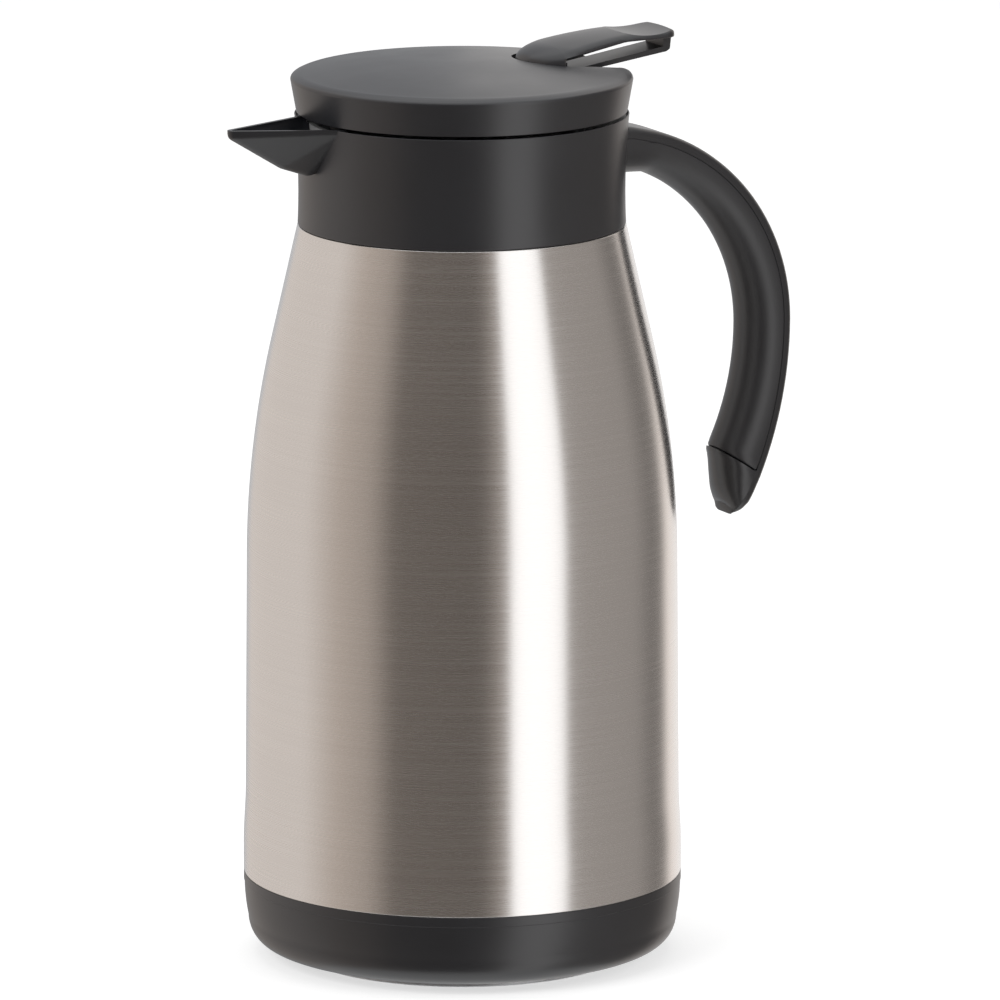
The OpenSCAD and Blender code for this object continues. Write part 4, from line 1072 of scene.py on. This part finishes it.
def lever_loop(lid):
    """The narrow loop under the shell: neck, lower plate and rear wall round a window."""
    neck_x, window_x, window_back = lid.pivot - 4 * MM, lid.pivot + 3 * MM, lid.thumb_end - 3 * MM
    neck_z, rear, round_off = lever_under(lid, lid.pivot) + 0.3 * MM, lid.thumb_end - 0.3 * MM, 1.6 * MM
    top_end, top_steps, window_steps = lid.thumb_end - 1.2 * MM, 16, 12
    y = -lid.loop_width / 2
    side = [(lid.pivot - MM, y, neck_z), (neck_x, y, neck_z)]
    for i in range(top_steps + 1):
        x = neck_x + (top_end - neck_x) * i / top_steps
        side.append((x, y, (lever_over(lid, x) + 2 * shell_under(lid, x)) / 3))
    side += [(rear, y, shell_under(lid, rear) + 0.5 * MM)]
    side += [(rear - 0.5 * MM, y, lever_under(lid, rear) + 0.5 * MM)]
    side += [(rear - round_off, y, lever_under(lid, rear - round_off))]
    loop = prism(side, (0, lid.loop_width, 0))
    opening = [(x, 2 * y, lever_under(lid, x) + lid.plate) for x in (window_x, window_back)]
    for i in range(window_steps, -1, -1):
        x = window_x + (window_back - window_x) * i / window_steps
        opening.append((x, 2 * y, shell_under(lid, x)))
    return combine(loop, prism(opening, (0, 2 * lid.loop_width, 0)), "DIFFERENCE")


class CARAFE_OT_lever(bpy.types.Operator):
    """Lofts the thumb lever's shell, joins its loop and scoops its thumb pad"""

    bl_idname = "carafe.lever"
    bl_label = "Thumb lever"

    def execute(self, context):
        lid = context.scene.carafe_lid
        under, lip_z = lever_under(lid, lid.pivot), rim_height(lid) + 0.8 * MM
        core_in, core_back = 1.6 * MM, lid.pivot + 0.9 * MM
        core_low, core_top = under - 0.1 * MM, lip_z + 1.5 * MM
        hub_r, hub_in = 3.97 * MM, 2 * MM
        boss_x, boss_back, boss_half, boss_drop = lid.pivot - 7.6 * MM, lid.pivot - 1.4 * MM, 5.6 * MM, 2.2 * MM
        dish_x, dish_length = lid.thumb_end - 9.3 * MM, 60 * MM

        lever = combine(lever_shell(lid, lip_z), lever_loop(lid), "UNION")
        core = (lid.nose + core_in, lid.nose_arc - core_in, lid.nose_width / 2 - core_in)
        combine(lever, trough_block(*core, core_back, core_low, core_top), "UNION")
        combine(lever, rod(lid.pivot, PIN_Z, hub_r, lid.nose_width / 2 - hub_in), "UNION")
        boss_low, boss_high = (boss_x, -boss_half, PIN_Z - boss_drop), (boss_back, boss_half, under + 0.6 * MM)
        combine(lever, box_block(boss_low, boss_high), "UNION")
        combine(lever, rod(lid.pivot, PIN_Z, PIN_BORE, 20 * MM), "DIFFERENCE")

        place = (dish_x, 0, lever_over(lid, dish_x) - lid.dish_depth + lid.dish_radius)
        combine(lever, cylinder(lid.dish_radius, dish_length, place, 360, (math.pi / 2, 0, 0)), "DIFFERENCE")
        smooth(lever, 28)
        hand_over(lever, "thumb_lever", "lever", "black_plastic", "lever")
        return {"FINISHED"}


# ------------------------------------------------------------------ inner pieces


class CARAFE_OT_inner(bpy.types.Operator):
    """Gives the inner solids their finishes and gives the spring a mesh of its own"""

    bl_idname = "carafe.inner"
    bl_label = "Inner pieces"

    def execute(self, context):
        for part in frame["record"]["subparts"]:
            for place in frame["nodes"][part["node"]].material_slots:
                place.material = finish_of(part["material_slot"])
        spring = frame["nodes"]["valve_spring"]
        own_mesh(spring)
        return {"FINISHED"}


# ------------------------------------------------------------------ studio

SENSOR_WIDTH, FAR_END = 36, 50
FLOOR_SIZE, FLOOR_GREY, FLOOR_GLOW = 12, (0.55, 0.55, 0.55, 1), 0.62
WALL_SIDES, WALL_MIDDLE = 256, (0, 0, 0.12)
LIGHT_TARGET = (0, 0, 0.14)

# The soft lights, as setting of the power, place and size
LIGHTS = (
    ("key", (-1.9, -0.6, 1.5), 1.4),
    ("fill", (1.3, -1.5, 1.1), 1.4),
    ("top", (0.2, 0.6, 2.2), 1.6),
)

# The wall that the steel reflects, as angle from the view to the right in degrees, brightness and colour
COOL, WARM, BROWN, WHITE = (0.99, 1.0, 1.03), (1.1, 1.0, 0.93), (1.17, 1.0, 0.88), (1.02, 1.0, 0.99)
WALL_BANDS = (
    (-180, 0.55, COOL),
    (-152, 0.52, COOL),
    (-143, 0.6, WARM),
    (-84, 0.6, WARM),
    (-64, 0.4, BROWN),
    (-46, 0.31, BROWN),
    (-33, 0.125, BROWN),
    (10, 0.1, BROWN),
    (22.4, 0.26, BROWN),
    (23.2, 1.25, WHITE),
    (50.5, 1.25, WHITE),
    (51.5, 0.31, WARM),
    (96, 0.28, WARM),
    (111, 0.17, WARM),
    (121, 0.19, WARM),
    (132, 0.8, WARM),
    (158, 0.9, WHITE),
    (180, 0.9, WHITE),
)


def white_floor():
    """A white floor that keeps a soft shadow."""
    let_go()
    bpy.ops.mesh.primitive_plane_add(size=FLOOR_SIZE, location=(0, 0, 0))
    floor = bpy.context.active_object
    floor.name = "studio_floor"
    n = Nodes(bpy.data.materials.new("studio_white"))
    out = n.add("ShaderNodeOutputMaterial")
    both = n.add("ShaderNodeAddShader")
    diffuse = n.add("ShaderNodeBsdfDiffuse")
    glow = n.add("ShaderNodeEmission")
    diffuse.inputs["Color"].default_value = FLOOR_GREY
    n.link(n.reckon("MULTIPLY", n.seen_rays(), FLOOR_GLOW), glow.inputs["Strength"])
    n.link(diffuse.outputs[0], both.inputs[0])
    n.link(glow.outputs[0], both.inputs[1])
    n.link(both.outputs[0], out.inputs["Surface"])
    floor.data.materials.append(n.owner)
    floor.visible_glossy = False


def reflected_wall(studio):
    """A ring of card round the pot that only gloss sees: dark, warm and white upright bands."""
    let_go()
    bpy.ops.mesh.primitive_cylinder_add(
        vertices=WALL_SIDES,
        radius=studio.wall_radius,
        depth=studio.wall_height,
        end_fill_type="NOTHING",
        location=WALL_MIDDLE,
    )
    bpy.ops.object.transform_apply(location=True, rotation=False, scale=False)
    wall = bpy.context.active_object
    wall.name = "studio_reflected_wall"
    n = Nodes(bpy.data.materials.new("studio_bands"))
    out = n.add("ShaderNodeOutputMaterial")
    glow = n.add("ShaderNodeEmission")
    place = n.add("ShaderNodeTexCoord")
    turn = n.add("ShaderNodeMapping")
    wheel = n.add("ShaderNodeTexGradient", gradient_type="RADIAL")
    ramp = n.add("ShaderNodeValToRGB")
    turn.inputs["Rotation"].default_value[2] = math.tau - math.atan2(studio.camera.y, studio.camera.x)
    n.link(place.outputs["Object"], turn.inputs["Vector"])
    n.link(turn.outputs["Vector"], wheel.inputs["Vector"])
    n.link(wheel.outputs["Fac"], ramp.inputs["Fac"])
    n.link(ramp.outputs["Color"], glow.inputs["Color"])
    n.link(glow.outputs[0], out.inputs["Surface"])
    stops = ramp.color_ramp.elements
    while len(stops) > 1:
        stops.remove(stops[-1])
    for i, (angle, level, tone) in enumerate(WALL_BANDS):
        along = (angle + 180) / 360
        stop = stops[0] if i == 0 else stops.new(along)
        stop.position = along
        stop.color = (*(level * channel for channel in tone), 1)
    wall.data.materials.append(n.owner)
    n.owner.cycles.emission_sampling = "NONE"
    for ray in ("camera", "diffuse", "shadow", "transmission", "volume_scatter"):
        setattr(wall, "visible_" + ray, False)


def even_sky(scene, strength):
    """A sky that lights the pot evenly, and is plain white where it is seen."""
    world = bpy.data.worlds.new("studio_sky")
    scene.world = world
    n = Nodes(world)
    out = n.add("ShaderNodeOutputWorld")
    mix = n.add("ShaderNodeMixShader")
    n.link(n.seen_rays(), mix.inputs["Fac"])
    for level, shader in ((strength, 1), (1.0, 2)):
        glow = n.add("ShaderNodeBackground")
        glow.inputs["Color"].default_value = (1, 1, 1, 1)
        glow.inputs["Strength"].default_value = level
        n.link(glow.outputs[0], mix.inputs[shader])
    n.link(mix.outputs[0], out.inputs["Surface"])


def looking(place, target):
    """The rotation of a camera or a light that looks from a place at a target."""
    return (Vector(target) - Vector(place)).to_track_quat("-Z", "Y").to_euler()


def soft_light(name, place, size, energy):
    """A square area light that looks at the pot."""
    lamp = bpy.data.lights.new(name, "AREA")
    lamp.shape = "SQUARE"
    lamp.size = size
    lamp.energy = energy
    light = bpy.data.objects.new(name, lamp)
    light.location = place
    light.rotation_euler = looking(place, LIGHT_TARGET)
    light.visible_glossy = False
    bpy.context.scene.collection.objects.link(light)


class CARAFE_OT_stage(bpy.types.Operator):
    """Sets up the camera, the soft lights, the white floor and the wall that the steel reflects"""

    bl_idname = "carafe.stage"
    bl_label = "Studio"

    def execute(self, context):
        scene = context.scene
        studio = scene.carafe_studio
        lens = bpy.data.cameras.new("studio_camera")
        lens.lens = studio.lens
        lens.sensor_width = SENSOR_WIDTH
        lens.clip_end = FAR_END
        camera = bpy.data.objects.new("studio_camera", lens)
        camera.location = studio.camera
        camera.rotation_euler = looking(studio.camera, studio.target)
        scene.collection.objects.link(camera)
        scene.camera = camera
        scene.view_settings.view_transform = "Standard"
        white_floor()
        reflected_wall(studio)
        for name, place, size in LIGHTS:
            soft_light("studio_" + name, place, size, getattr(studio, name))
        even_sky(scene, studio.sky)
        return {"FINISHED"}


STEPS = (
    CARAFE_OT_flask,
    CARAFE_OT_base,
    CARAFE_OT_collar,
    CARAFE_OT_handle,
    CARAFE_OT_lid,
    CARAFE_OT_lever,
    CARAFE_OT_inner,
    CARAFE_OT_stage,
)


class CARAFE_PT_panel(bpy.types.Panel):
    """Lists the pieces and their sizes"""

    bl_idname = "CARAFE_PT_panel"
    bl_label = "Thermal carafe"
    bl_space_type = "VIEW_3D"
    bl_region_type = "UI"
    bl_category = "Carafe"

    def draw(self, context):
        layout = self.layout
        for operator in STEPS:
            layout.operator(operator.bl_idname)
        for name in GROUPS:
            box = layout.box()
            group = getattr(context.scene, name)
            for key in group.bl_rna.properties.keys():
                if key not in ("rna_type", "name"):
                    box.prop(group, key, text=key.replace("_", " ").capitalize())


CLASSES = (*GROUPS.values(), *STEPS, CARAFE_PT_panel)


def register():
    for cls in CLASSES:
        bpy.utils.register_class(cls)
    for name, group in GROUPS.items():
        setattr(bpy.types.Scene, name, PointerProperty(type=group))


def unregister():
    for name in GROUPS:
        delattr(bpy.types.Scene, name)
    for cls in reversed(CLASSES):
        bpy.utils.unregister_class(cls)


def main():
    """Makes every piece and the studio."""
    register()
    bpy.ops.carafe.inner()
    bpy.ops.carafe.flask()
    bpy.ops.carafe.base()
    bpy.ops.carafe.collar()
    bpy.ops.carafe.handle()
    bpy.ops.carafe.lid()
    bpy.ops.carafe.lever()
    bpy.ops.carafe.stage()


if __name__ == "__main__":
    main()
